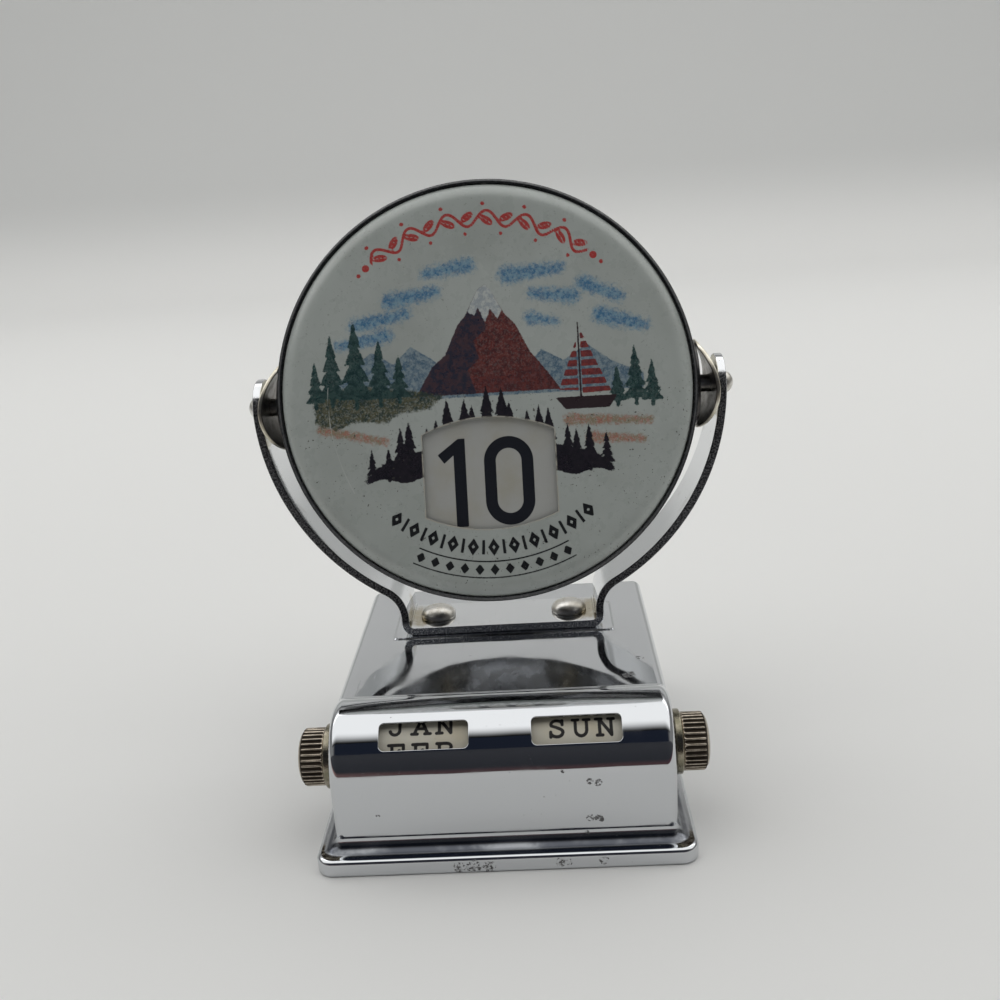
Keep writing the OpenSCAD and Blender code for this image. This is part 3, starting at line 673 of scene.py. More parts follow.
def foot_outline():
    """The section of the foot as points and normals of the distance out and z: the cove, the flange's
    rounded top and lower lip, and the recess for the cover under it."""
    lip, soft = 0.3, 0.6
    cove, cove_n = arc(COVE, COVE_TOP, COVE, 180, 270, 10)
    top, top_n = arc(FLANGE_OUT - soft, FLANGE_H - soft, soft, 90, 0, 7)
    low, low_n = arc(FLANGE_OUT - lip, lip, lip, 0, -90, 5)
    recess = FLANGE_OUT - SHEET
    path = np.array([[recess, 0], [recess, COVER], [-SHEET, COVER], [-SHEET, COVE_TOP]])
    path_n = np.array([[-0.7, -0.7], [-0.7, -0.7], [-0.7, -0.7], [-1.0, 0]])
    return np.concatenate([cove, top, low, path]), np.concatenate([-cove_n, top_n, low_n, path_n])


def foot_ring(xs, side_y):
    """The foot's section carried round its plan; the corners' radius grows with the distance out."""
    line, line_n = foot_outline()
    out = line[None, :, 0]
    to_front = np.where(out > 0, out * FLANGE_FRONT / FLANGE_OUT, out)
    corner = EDGE + np.where(out > 0, out * (FLANGE_CORNER - EDGE) / FLANGE_OUT, out)
    plan = foot_plan(xs, side_y)
    sx, cy, nx, ny, sy = (plan[:, i:i + 1] for i in range(5))
    on_corner = (sy != 0) & (nx != 0)
    on_side = sy == 0
    y_edge = np.where(sy < 0, WALL_FRONT - to_front, WALL_BACK + out)
    x = np.where(on_corner, sx * (WALL_X + out - corner) + corner * nx,
                 np.where(on_side, sx * (WALL_X + out), sx))
    y = np.where(on_corner, y_edge - sy * corner + corner * ny, np.where(on_side, cy, y_edge))
    normals = joined(nx * line_n[:, 0], ny * line_n[:, 0], line_n[:, 1])
    return patch(joined(x, y, line[:, 1]), normals, closed_rows=True)


def rounded_loop(half_w, half_h, r, across, upright):
    """A rounded oblong from the middle of its lower left corner round to the same point, with as
    many steps on each side as the patch round it has; returns points and outward normals."""
    points, normals = [], []
    corners = ((1, -1, 270), (1, 1, 0), (-1, 1, 90), (-1, -1, 180))
    last = (-1, -1)
    for (sx, sy, start), steps in zip(corners, (across, upright, across, upright)):
        before, before_n = arc(last[0] * (half_w - r), last[1] * (half_h - r), r, start - 45, start,
                               HALF_CORNER)
        after, after_n = arc(sx * (half_w - r), sy * (half_h - r), r, start, start + 45, HALF_CORNER)
        t = np.linspace(0, 1, steps - 2 * HALF_CORNER + 1)[1:-1, None]
        middle = before[-1] * (1 - t) + after[0] * t
        points += [before, middle, after[:-1]]
        normals += [before_n, np.repeat(after_n[:1], len(middle), 0), after_n[:-1]]
        last = (sx, sy)
    return np.concatenate(points), np.concatenate(normals)


def slot_border(rows, xs):
    """The x and nose angle of the top sheet's own points round the oblong that it leaves out."""
    y, z = rows[SLOT_ROWS.start:SLOT_ROWS.stop + 1, :2].T
    angle = np.degrees(np.arctan2(z - NOSE_Z, NOSE_Y - y))
    x = xs[(xs > SLOT_PATCH_X[0] - 1e-6) & (xs < SLOT_PATCH_X[1] + 1e-6)]
    sides = (joined(x, angle[0]), joined(x[-1], angle), joined(x[::-1], angle[-1]),
             joined(x[0], angle[::-1]))
    return np.concatenate([side[:-1] for side in sides])


def label_window(rows, xs):
    """The nose round the right-hand label window: rings run from the oblong of the top sheet's own
    points in to the opening, over a small lip and down its cut edge to the inner skin."""
    hole, hole_n = rounded_loop(SLOT_HALF_W, SLOT_HALF_H, SLOT_CORNER, SLOT_COLS, NOSE_ROWS[1])
    lip = 0.16
    start = hole + hole_n * lip
    inner = joined(start[:, 0] + SLOT_X, SLOT_ANGLE + np.degrees(np.arcsin(start[:, 1] / NOSE_R)))
    t = (np.linspace(0, 1, 10) ** 1.4)[None, :, None]
    at = inner[:, None] * (1 - t) + slot_border(rows, xs)[:, None] * t
    a = np.radians(at[..., 1])
    normals = joined(0, -np.cos(a), np.sin(a))
    points = np.array([0, NOSE_Y, NOSE_Z]) + NOSE_R * normals
    points[..., 0] = at[..., 0]
    tilt = np.radians(SLOT_ANGLE)
    side = np.array([1.0, 0, 0])
    out = np.array([0, -np.cos(tilt), np.sin(tilt)])
    up = np.array([0, np.sin(tilt), np.cos(tilt)])

    def put(flat, depth):
        return (np.array([SLOT_X, NOSE_Y, NOSE_Z]) + flat[..., 0:1] * side + flat[..., 1:2] * up
                + depth[..., None] * out)

    phi = np.radians(np.linspace(0, 90, 6))
    ring = start[:, None] - hole_n[:, None] * lip * np.sin(phi)[None, :, None]
    top = np.sqrt(NOSE_R ** 2 - start[:, 1] ** 2)[:, None] - lip * (1 - np.cos(phi))[None]
    flat_n = hole_n[:, 0:1] * side + hole_n[:, 1:2] * up
    lip_n = (normals[:, 0][:, None] * np.cos(phi)[None, :, None]
             - flat_n[:, None] * np.sin(phi)[None, :, None])
    floor = np.sqrt((NOSE_R - SHEET) ** 2 - hole[:, 1] ** 2)
    end = points[:, 0] - SHEET * normals[:, 0]
    wall = np.concatenate([put(ring, top), put(hole, floor)[:, None], end[:, None]], 1)
    wall_n = np.concatenate([lip_n, -flat_n[:, None], -flat_n[:, None]], 1)
    return patch(points, normals, closed_rows=True), patch(wall, wall_n, closed_rows=True)


def base_parts():
    """The whole shell: its outer skin, the same skin moved in, the windows' cut edges and the foot."""
    rows, xs = side_rows(), columns()
    wall, side_y = side_wall(rows)
    skin, cut = label_window(rows, xs)
    right = [side_edge(rows), wall, skin]
    outer = [top_sheet(rows, xs), *right, *(mirrored(p) for p in right)]
    inner = [offset(p, SHEET) for p in outer]
    return outer + inner + [cut, mirrored(cut), foot_ring(xs, side_y)]


def base_marks(points):
    """Grime and painted shade in the hollow of the cove: none at its foot and its top, most in its lower
    half.
    """
    height = (points[:, 2] - FLANGE_H) / COVE
    return {"grime": np.clip(height / 0.03, 0, 1) * np.clip((0.75 - height) / 0.4, 0, 1)}


# ---------- yoke ----------
def yoke_path():
    """The middle line of the bent strip, from the right ear down and across to the left: its points
    in x and z, its direction at each, and the length so far."""
    reach_out = ARM_MID + BEND_R
    bend_a = np.degrees(np.arccos((FOOT_HALF + BEND_R) / reach_out))
    bend_z = PIVOT_Z - reach_out * np.sin(np.radians(bend_a))
    inside = FOOT_BEND + YOKE_T / 2
    foot_mid = FOOT_TOP - YOKE_T / 2
    right = np.concatenate([
        joined(ARM_MID, np.linspace(EAR_TOP, PIVOT_Z, 24)[:-1]),
        arc(0, PIVOT_Z, ARM_MID, 0, -bend_a, 70)[0],
        arc(FOOT_HALF + BEND_R, bend_z, BEND_R, 180 - bend_a, 180, 24)[0],
        [[FOOT_HALF, (bend_z + foot_mid + inside) / 2]],
        arc(FOOT_HALF - inside, foot_mid + inside, inside, 0, -90, 14)[0],
        joined(np.linspace(FOOT_HALF - inside, 0, 9)[1:], foot_mid),
    ])
    right = right[np.append(True, np.hypot(*np.diff(right, axis=0).T) > 1e-6)]
    line = np.concatenate([right, (right * [-1, 1])[::-1][1:]])
    length = np.append(0, np.cumsum(np.hypot(*np.diff(line, axis=0).T)))
    along = np.gradient(line, length, axis=0)
    return line, along / np.linalg.norm(along, axis=1, keepdims=True), length


def strip_blank(length):
    """Half the outline of the strip's flat blank, a stadium: its points along and across the strip,
    and their outward normals, as four columns."""
    total = length[-1]
    theta = np.radians(np.linspace(90, 0, 21))
    s, c = np.sin(theta), np.cos(theta)
    middle = length[(length > YOKE_HALF_W + 0.02) & (length < total - YOKE_HALF_W - 0.02)]
    start = joined(YOKE_HALF_W * (1 - s), YOKE_HALF_W * c, -s, c)
    straight = joined(middle, YOKE_HALF_W, 0, 1)
    end = joined(total - YOKE_HALF_W * (1 - s), YOKE_HALF_W * c, s, c)[::-1]
    return np.concatenate([start, straight, end]).T[..., None]


def strip_section():
    """From the strip's middle over its outer face, round its edge and back over the inner face: how far
    in from the outline, how high above the middle, and the share of the normal that faces out."""
    half_t, soft = YOKE_T / 2, 0.22
    inward = np.array([YOKE_HALF_W, 4.2, 2.8, 1.6, 0.9, 0.5, soft])
    round_a = np.radians(np.linspace(90, 0, 7))[1:]
    outer = np.concatenate([
        joined(inward, half_t, 1.0),
        joined(soft * (1 - np.cos(round_a)), half_t - soft * (1 - np.sin(round_a)), np.sin(round_a)),
        [[0, 0, 0]]])
    return np.concatenate([outer, outer[:-1][::-1] * [1, -1, -1]]).T


def yoke_parts():
    """The strip: the outline of its flat blank is offset inwards ring by ring on both faces and round
    its edges, and each point is laid on the bent middle line."""
    line, along, length = yoke_path()
    s, y, ns, ny = strip_blank(length)
    depth, height, face = strip_section()
    rim = np.sqrt(1 - face ** 2)
    flat_s, flat_y = s - ns * depth, y - ny * depth

    def laid(values):
        return joined(*(np.interp(flat_s, length, values[:, i]) for i in (0, 1)))

    direction = laid(along)
    direction /= np.linalg.norm(direction, axis=-1, keepdims=True)
    out = joined(-direction[..., 1], direction[..., 0])
    xz = laid(line) + out * height[None, :, None]
    nxz = out * face[None, :, None] + direction * (ns * rim)[..., None]
    return [patch(joined(xz[..., 0], YOKE_Y + way * flat_y, xz[..., 1]),
                  joined(nxz[..., 0], way * ny * rim, nxz[..., 1])) for way in (1, -1)]


def yoke_marks(points):
    """How far each point is on the dark sheared edge: 1 on the edge, 0 on the faces 0.25 mm in. The
    foot's edge is less torn, and the tops of the ears are rubbed bright."""
    y, z = np.abs(points[:, 1] - YOKE_Y), points[:, 2]
    over = np.maximum(z - (EAR_TOP - YOKE_HALF_W), 0)
    torn = np.clip((z - FOOT_TOP - 0.2) / 2, 0, 1) * 0.3 + 0.7
    torn *= 1 - 0.55 * np.clip((z - EAR_TOP + 2.5) / 0.5, 0, 1)
    return {"sheared": torn * np.clip(1 - (YOKE_HALF_W - np.hypot(y, over)) / 0.25, 0, 1)}


# ---------- turned pieces ----------
def rivet(r, h, skirt, shank, tail):
    """A set rivet's outline, with its head on x = 0 and its shank on the other side: a flat upset
    end, the shank, then the head's short upright skirt and a quarter ellipse up to the axis."""
    shank_r, tail_r, soft = 1.5, 2.5, 0.05
    a = np.radians(np.linspace(0, 90, 18))
    curve = joined(skirt + (h - skirt) * np.sin(a), r * np.cos(a))
    low = -shank - tail
    foot = [[low, 0], [low, tail_r * 0.97], [low + soft, tail_r], [-shank - soft, tail_r],
            [-shank, tail_r * 0.98], [-shank, shank_r + soft], [-shank + soft, shank_r],
            [-soft, shank_r], [0, shank_r + soft], [0, r * 0.97], [0.04, r]]
    return np.concatenate([foot, curve])[::-1]


def knob_outline():
    """The knob's outline from its domed end back: the dome, the barrel and the rounded skirt."""
    skirt = np.concatenate([[[KNOB_X0, 0], [KNOB_X0, 4.8]],
                            arc(KNOB_X0 + 0.25, SKIRT_R - 0.25, 0.25, 180, 90, 5)[0],
                            arc(SKIRT_X - 0.3, SKIRT_R - 0.3, 0.3, 90, 0, 5)[0],
                            [[SKIRT_X, KNURL_R + 0.1]]])
    barrel = np.concatenate([arc(SKIRT_X + 0.25, KNURL_R - 0.25, 0.25, 180, 90, 5)[0],
                             joined(np.linspace(SKIRT_X + 0.5, KNURL_X - 0.6, 10), KNURL_R),
                             arc(KNURL_X - 0.45, KNURL_R - 0.45, 0.45, 90, 10, 7)[0]])
    a = np.radians(np.linspace(8, 90, 14))
    dome = joined(KNURL_X + (KNOB_X1 - KNURL_X) * np.sin(a) ** 0.9, (KNURL_R - 0.5) * np.cos(a))
    return np.concatenate([skirt, barrel, dome])[::-1]


def knob_parts():
    """The knob: its outline turned about X, with the barrel's radius dipping in each flute."""
    line = knob_outline()
    angle = np.linspace(0, 2 * np.pi, KNURLS * 10, endpoint=False)
    x, r = line[:, 0:1], line[:, 1:2]
    inside = (np.clip((x - SKIRT_X - 0.1) / 0.35, 0, 1) * np.clip((KNURL_X + 0.1 - x) / 0.3, 0, 1)
              * (r > 3.9))
    flute = np.clip(0.5 - 0.5 * np.cos(KNURLS * angle), 0, 1)[None] ** 0.75
    radius = r - FLUTE * flute * inside
    slope = (FLUTE * inside * KNURLS * 0.5 * np.sin(KNURLS * angle)) / np.maximum(r, 1)
    n = profile_normals(line)
    nx, nr = n[:, 0:1], n[:, 1:2]
    c, s = np.cos(angle), np.sin(angle)
    normals = joined(nx, (c - s * slope) * nr, (s + c * slope) * nr)
    return [patch(joined(x, radius * c, radius * s), normals, closed_cols=True)]


def knob_marks(points):
    """How deep each point lies below the knurls' crests, from 0 to 1, and 1 on the skirt."""
    x, r = points[:, 0], np.hypot(points[:, 1], points[:, 2])
    barrel = (x > SKIRT_X + 0.05) & (x < KNURL_X)
    skirt = (x < SKIRT_X - 0.02) & (r > KNURL_R)
    return {"flute": np.where(barrel, np.clip((KNURL_R - r) / 0.28, 0, 1), 0.0),
            "skirt": skirt.astype(float)}


def bent_washer():
    """A bowed disc about +X, with z and y in its plan: its outside is x = crown - bow + sqrt(bow^2 - z^2)
    and its inside the same curve WASHER_T deeper, cut flat at WASHER_X. The rows run from the bore over
    the outside, round the rim and back along the inside; each holds a plan radius, the share of the
    thickness, and how much its normal leans outside, to the rim and inside."""
    rim = WASHER_R - 0.1
    across = np.linspace(1.65, rim - 0.15, 16)
    rows = np.concatenate([[[1.6, 0.5, 0, -1, 0]], joined(across, 0, 1, 0, 0),
                           [[rim - 0.05, 0.05, 1, 1, 0], [rim, 0.25, 0, 1, 0], [rim, 0.75, 0, 1, 0],
                            [rim - 0.05, 0.95, 0, 1, 1]],
                           joined(across, 1, 0, 0, 1)[::-1]])
    r, share, lean_out, lean_rim, lean_in = (rows[:, i:i + 1] for i in range(5))
    a = np.linspace(0, 2 * np.pi, 120, endpoint=False)[None]
    y, z = r * np.cos(a), r * np.sin(a)
    inner = WASHER_BOW - WASHER_T
    rise, inner_rise = np.sqrt(WASHER_BOW ** 2 - z ** 2), np.sqrt(inner ** 2 - z ** 2)
    inside = np.maximum(WASHER_MIDDLE + inner_rise, WASHER_X)
    cut = inside <= WASHER_X
    points = joined((WASHER_MIDDLE + rise) * (1 - share) + inside * share, y, z)
    n_out = joined(rise, 0, z) / WASHER_BOW
    n_in = -joined(np.where(cut, inner, inner_rise), 0, np.where(cut, 0, z)) / inner
    n_rim = joined(0, np.cos(a), np.sin(a))
    normals = lean_out[..., None] * n_out + lean_rim[..., None] * n_rim + lean_in[..., None] * n_in
    return [patch(points, normals, closed_rows=True, closed_cols=True)]


def washer_marks(points):
    """Painted shade on the hollow side: how deep each point lies below the outside, from 0 to 1."""
    below = WASHER_MIDDLE + np.sqrt(WASHER_BOW ** 2 - points[:, 2] ** 2) - points[:, 0]
    return {"grime": np.clip((below - 0.45) / 0.2, 0, 1)}


def ring_outline(x0, x1, r0, r1, soft):
    """A flat ring's outline with rounded corners."""
    corners = ((x1 - soft, r1 - soft, 0), (x0 + soft, r1 - soft, 90),
               (x0 + soft, r0 + soft, 180), (x1 - soft, r0 + soft, 270))
    return np.concatenate([arc(x, r, soft, a, a + 90, 4)[0] for x, r, a in corners])[::-1]


def hoop_parts():
    """The hoop: a thin wall with a rolled bead at each edge, turned about the drum's own axis."""
    edge, turned_r = HOOP_HALF - BEAD, HOOP_R - BEAD
    wall = np.linspace(-1, 1, 9)[1:-1] * (edge - 0.5)
    line = np.concatenate([
        arc(edge, turned_r, BEAD, 60, -120, 14)[0], joined(wall[::-1], HOOP_R - HOOP_T),
        arc(-edge, turned_r, BEAD, -60, -240, 14)[0], joined(wall, HOOP_R - 0.02)])
    return [reordered(revolved(line, 288, closed=True), [1, 0, 2])]


def hoop_marks(points):
    """Two marks on the hoop: its rolled edges, and the crest that runs along the middle of each."""
    rolled = np.clip((np.abs(points[:, 1]) - HOOP_HALF + 1.0) / 0.15, 0, 1)
    away = np.abs(np.hypot(points[:, 0], points[:, 2]) - (HOOP_R - BEAD))
    return {"rolled": rolled, "crest": rolled * np.clip(1.2 - away / 0.17, 0, 1)}


# ---------- drum faces ----------
ROUND_STEPS, FACE_RINGS = 600, 104


def window_distance(x, z):
    """Signed distance, roughly, to the edge of the date window: negative in the opening."""
    ball = (WINDOW_HALF_W ** 2 + WINDOW_BULGE ** 2) / (2 * WINDOW_BULGE)
    up = z - WINDOW_Z
    top = np.hypot(x, up - WINDOW_HALF_H + ball) - ball
    low = np.hypot(x, up + WINDOW_HALF_H - ball) - ball
    return np.maximum(np.maximum(np.abs(x) - WINDOW_HALF_W, top), low)


def window_edge(way, grow):
    """Where rays from the window's middle cross its outline, grown by a little: found by halving."""
    near, far = np.zeros(len(way)), np.full(len(way), 20.0)
    for _ in range(40):
        mid = (near + far) / 2
        outside = window_distance(mid * way[:, 0], WINDOW_Z + mid * way[:, 1]) > grow
        far, near = np.where(outside, mid, far), np.where(outside, near, mid)
    return near[:, None] * way + [0, WINDOW_Z]


def face_disc(around):
    """The plate's flat part: rings run from the window's outline out to a circle, on the front and on
    the back, and a small lip turns in from the front to the window's cut edge."""
    circle = FLAT_R * around
    way = circle - [0, WINDOW_Z]
    way /= np.linalg.norm(way, axis=1, keepdims=True)
    lip, back_y = 0.1, FACE_Y + FACE_T
    edge, hole = window_edge(way, lip), window_edge(way, 0.0)

    def spread(inner, rings, y):
        t = np.linspace(0, 1, rings + 1)[None, :, None]
        flat = inner[:, None] * (1 - t) + circle[:, None] * t
        return joined(flat[..., 0], y, flat[..., 1])

    phi = np.linspace(0, np.pi / 2, 5)
    turn_in = edge[:, None] + (hole - edge)[:, None] * np.sin(phi)[None, :, None]
    lip_points = joined(turn_in[..., 0], FACE_Y + lip * (1 - np.cos(phi)), turn_in[..., 1])
    end = joined(hole[:, 0], back_y, hole[:, 1])
    bend = np.append(phi, np.pi / 2)[None, :, None]
    lip_n = joined(-way[:, 0], 0, -way[:, 1])[:, None] * np.sin(bend) + [0, -1, 0] * np.cos(bend)
    return [patch(spread(edge, FACE_RINGS, FACE_Y), [0.0, -1, 0], closed_rows=True),
            patch(np.concatenate([lip_points, end[:, None]], 1), lip_n, closed_rows=True),
            patch(spread(hole, 4, back_y), [0.0, 1, 0], closed_rows=True)]


def face_margin(around):
    """The plate's margin: it falls away in a curve, bends over to a short skirt and closes inside."""
    edge, bend_r, fold = FACE_R - 0.42, 0.8, 0.71
    r = np.linspace(FLAT_R, edge, 16)
    fall = FACE_Y + MARGIN_DROP * ((r - FLAT_R) / (edge - FLAT_R)) ** 2.6
    curl = arc(FACE_R - bend_r, fall[-1] + fold, bend_r, -50, 0, 6)[0]
    skirt_y = FACE_Y + MARGIN_DROP + 2.5
    inner = [[FACE_R, skirt_y - 0.1], [FACE_R - 0.1, skirt_y], [FACE_R - FACE_T, skirt_y],
             [FACE_R - FACE_T, FACE_Y + MARGIN_DROP + 0.5], [FLAT_R, FACE_Y + FACE_T]]
    line = np.concatenate([joined(r, fall), curl, inner])
    n = profile_normals(line)
    n[0], n[-1] = (0, -1), (0, 1)
    x, z = around[:, 0:1], around[:, 1:2]
    return patch(joined(x * line[:, 0], line[:, 1], z * line[:, 0]),
                 joined(x * n[:, 0], n[:, 1], z * n[:, 0]), closed_rows=True)


def face_parts():
    a = np.linspace(0, 2 * np.pi, ROUND_STEPS, endpoint=False)
    around = joined(np.sin(a), np.cos(a))
    front, lip, back = face_disc(around)
    return [front, lip, face_margin(around), back]


# ---------- print on the faces ----------
def capsule(x, z, x0, z0, x1, z1, r0, r1):
    """Signed distance to a brush stroke from one point to another whose radius runs from r0 to r1."""
    dx, dz = x1 - x0, z1 - z0
    t = np.clip(((x - x0) * dx + (z - z0) * dz) / (dx * dx + dz * dz), 0, 1)
    return np.hypot(x - x0 - t * dx, z - z0 - t * dz) - (r0 + (r1 - r0) * t)


def polygon(x, z, corners):
    """Signed distance to a closed polygon, negative inside: the nearest side, with the sign from how
    often a ray to the right crosses the sides."""
    best, inside = np.full(x.shape, 1e9), np.zeros(x.shape, bool)
    for (x0, z0), (x1, z1) in zip(corners, corners[1:] + corners[:1]):
        best = np.minimum(best, capsule(x, z, x0, z0, x1, z1, 0.0, 0.0))
        if z0 != z1:
            crosses = ((z0 > z) != (z1 > z)) & (x < (x1 - x0) * (z - z0) / (z1 - z0) + x0)
            inside ^= crosses
    return np.where(inside, -best, best)


def union(*distances):
    return np.minimum.reduce(distances)


# strokes of a brush: from x, z to x, z, with the radius at each end
STROKES = {
    "cloud": ((-24, 8.5, -16, 9.8, 0.7, 1.1), (-21, 11.6, -12.5, 13.2, 1.2, 0.8),
              (-15, 15.4, -7.5, 16.6, 1.3, 0.9), (-9, 19.6, -2, 20.6, 0.8, 1.2),
              (4.5, 18.6, 13, 19.4, 1.4, 0.8), (8.5, 15.4, 15, 14.6, 0.8, 1.2),
              (17, 16.6, 22.5, 14.2, 1.2, 0.9), (19.5, 11.2, 26.5, 9.2, 1.4, 0.8),
              (8, 11.4, 12, 10.6, 0.9, 0.6)),
    "earth": ((13.5, -5.6, 26.5, -6.3, 0.9, 0.6), (17, -8.6, 25.5, -9.4, 0.9, 0.5),
              (-27.5, -5.2, -17, -7.6, 0.8, 0.6)),
}
# outlines as corners x, z; the shadow is the mountain's left half, and the snow its top
SLOPE = [(-11.5, -0.5), (-8.6, 4.2), (-6.4, 6.0), (-4.1, 10.8), (-2.6, 12.6), (-0.6, 16.4), (0.8, 17.4)]
OUTLINES = {
    "ridge": [(-26, 0.5), (-22, 4.8), (-18.5, 7.2), (-15, 5), (-12, 7.8), (-8.5, 5.5), (-5, 2), (6, 2.5),
              (9.5, 6.2), (13, 4.2), (17, 6.6), (21, 3.6), (26, 1.5), (26, -1), (-26, -1)],
    "peak": SLOPE + [(2.0, 15.6), (3.7, 12.4), (5.4, 10.6), (7.6, 6.0), (9.8, 3.2), (12.4, -0.5)],
    "shadow": SLOPE[::-1] + [(-1.5, -0.5), (-2.8, 3.4), (-0.8, 5.2), (-1.6, 8.2), (0.6, 10.0),
                             (0.0, 13.0), (1.4, 14.4)],
    "snow": SLOPE[:4:-1] + [(-2.4, 12.9), (-1.2, 12.3), (-0.6, 13.6), (0.5, 11.2), (1.4, 13.2),
                            (2.6, 11.6), (3.3, 13.1), (2.0, 15.6)],
    "grass": [(-28.6, 1.2), (-20, 1.6), (-11, 0.4), (-7, -0.6), (-9.5, -2.6), (-14, -3.0), (-17, -4.6),
              (-21.5, -4.0), (-25, -5.4), (-28.4, -4.2)],
}
SAILS = ([(15.9, -1.4), (15.9, 9.2), (20.6, -1.2)], [(15.3, -0.9), (15.2, 7.4), (12.0, -0.7)])
HULL, MAST = [(11.4, -1.9), (21.6, -1.9), (20.2, -3.9), (13.0, -3.9)], (15.6, -2, 15.6, 10.2, 0.16, 0.12)
# each pine's foot x, z, height and half width
PINES = ((-25.4, -1.2, 11.4, 2.7), (-21.4, -1.8, 14.2, 3.1), (-17.4, -1.6, 10.8, 2.6),
         (-14.2, -1.2, 7.6, 2.1), (24.6, -3.6, 9.4, 2.4), (27.3, -3.8, 7.2, 1.9),
         (21.6, -3.6, 6.4, 1.8), (-28.2, -1.4, 7.4, 1.8))
WOOD_HALF, WOOD_RISE, WOOD_FOOT, WOOD_STEP = 20.5, 5.6, -14.2, 2.1


def pine(x, z, foot_x, foot_z, height, half_w):
    """A pine tree: four stacked triangles that narrow to the top, over a short trunk."""
    tiers = []
    for i in range(4):
        low = foot_z + height * (0.10 + 0.20 * i)
        wide = half_w * (1 - 0.22 * i)
        tiers.append(polygon(x, z, [(foot_x - wide, low), (foot_x, low + height * 0.33),
                                    (foot_x + wide, low)]))
    return union(*tiers, capsule(x, z, foot_x, foot_z, foot_x, foot_z + height * 0.2, 0.35, 0.3))


def around_arc(x, z, radius, lower):
    """Distance along and across a ring of the given radius, from its top or its bottom."""
    sign = -1 if lower else 1
    return radius * np.arctan2(x, sign * z), (np.hypot(x, z) - radius) * sign


def wood(x, z):
    """A dark wood: a low mound under a row of pines that grow taller towards the middle."""
    mound = (np.hypot(x / WOOD_HALF, (z - WOOD_FOOT) / WOOD_RISE) - 1) * WOOD_RISE
    mound = np.maximum(mound, WOOD_FOOT - 0.4 * np.cos(x * 0.9) - z)
    trees = []
    for k in range(-9, 10):
        at = k * WOOD_STEP + 0.5 * np.sin(k * 2.3)
        height = 13.6 - 0.44 * abs(at) + 1.3 * np.sin(k * 1.7)
        trees.append(pine(x, z, at, WOOD_FOOT + 0.6 + 0.3 * np.cos(k * 2.0), height, 0.24 * height))
    return union(mound, *trees)


def vine(x, z):
    """A red trailing vine over the top: a waving stem with a leaf in each bend, and berries."""
    radius, end, wave, swing = 28.2, 19.4, 6.4, 1.25
    along, across = around_arc(x, z, radius, False)
    phase = 2 * np.pi * along / wave
    slope = np.hypot(1, swing * 2 * np.pi / wave * np.cos(phase))
    stem = np.abs(across - swing * np.sin(phase)) / slope - 0.24
    bend = np.floor(along / (wave / 2))
    side = np.where(np.mod(bend, 2) == 0, 1.0, -1.0)
    u, v = along - (bend + 0.5) * wave / 2, -(across * side)
    turned_u, turned_v = u * 0.85 + (v - 0.35) * 0.53, (v - 0.35) * 0.85 - u * 0.53
    leaf = (np.hypot(turned_u / 1.25, turned_v / 0.62) - 1) * 0.62
    leaf = np.maximum(leaf, 0.07 - np.abs(turned_v))
    berry = np.hypot(u + 0.6, v + swing + 1.15) - 0.34
    past = np.abs(along) - end
    knots = union(np.hypot(past - 1.1, across) - 0.62, np.hypot(past - 2.8, across) - 0.36)
    return union(np.maximum(union(stem, leaf, berry), past), knots)


def lozenge(along, across, pitch, half_w, half_h):
    """A row of lozenges, one each pitch."""
    at = along - np.round(along / pitch) * pitch
    return np.abs(at) / half_w + np.abs(across) / half_h - 1, at


def border(x, z):
    """Two black rows under the window: bold lozenges with bars between them, and small diamonds."""
    pitch, bold_end, small_end = 3.4, 18.1, 13.4
    along, across = around_arc(x, z, 25.9, True)
    bold, at = lozenge(along, across, pitch, 0.95, 1.45)
    bold = np.maximum(bold * 0.75, 0.26 - (np.abs(at) + np.abs(across) * 0.7))
    gap = along - (np.floor(along / pitch) + 0.5) * pitch
    bar = np.maximum(np.abs(gap) - 0.24, np.abs(across) - 1.2)
    first = np.maximum(union(bold, bar), np.abs(along) - bold_end)
    along, across = around_arc(x, z, 29.6, True)
    small, _ = lozenge(along, across, 2.5, 0.75, 0.95)
    line = np.abs(np.abs(across) - 1.35) - 0.12
    return union(first, np.maximum(union(small * 0.6, line), np.abs(along) - small_end))


def face_print(points):
    """The signed distances of every printed colour, in millimetres, at the plate's points, with those
    of the scratches and the window's edge, the height and 1 on the inside."""
    x, z = points[:, 0], points[:, 2]
    off_side = np.where((x < -18) & (z < 2) & (z > -16), 0.0, 9.0)
    marks = {name: union(*(capsule(x, z, *c) for c in strokes)) for name, strokes in STROKES.items()}
    marks |= {name: polygon(x, z, corners) for name, corners in OUTLINES.items()}
    marks |= {
        "pine": union(*(pine(x, z, *p) for p in PINES)),
        "sail": np.maximum(union(*(polygon(x, z, s) for s in SAILS)),
                           np.abs(np.mod(z + 0.2, 1.5) - 0.75) - 0.52),
        "hull": union(capsule(x, z, *MAST), polygon(x, z, HULL)),
        "wood": wood(x, z), "vine": vine(x, z), "border": border(x, z),
        "scratch": np.abs(np.hypot(x - 6, z + 1) - 32.2) + off_side,
        "opening": window_distance(x, z), "height": z,
    }
    behind = points[:, 1] > FACE_Y + np.where(np.hypot(x, z) < FLAT_R + 0.3, 0.3, 2.0)
    marks = {k: np.where(behind, 9.0, np.clip(v, -40, 40)) for k, v in marks.items()}
    return marks | {"inside": behind.astype(float)}


# ---------- date tiles ----------
ONE = [(0.0, 7.3), (1.0, 7.3), (1.0, -7.3), (-0.98, -7.3), (-0.98, 4.6), (-2.55, 3.3), (-3.6, 4.75),
       (-0.15, 7.3)]
DIGIT_DROP = -1.35


def zero(x, z):
    """A narrow nought: a band of even width along the outline of an upright capsule."""
    return np.abs(capsule(x, z, 0, -3.25, 0, 3.25, 3.1, 3.1)) - 0.98


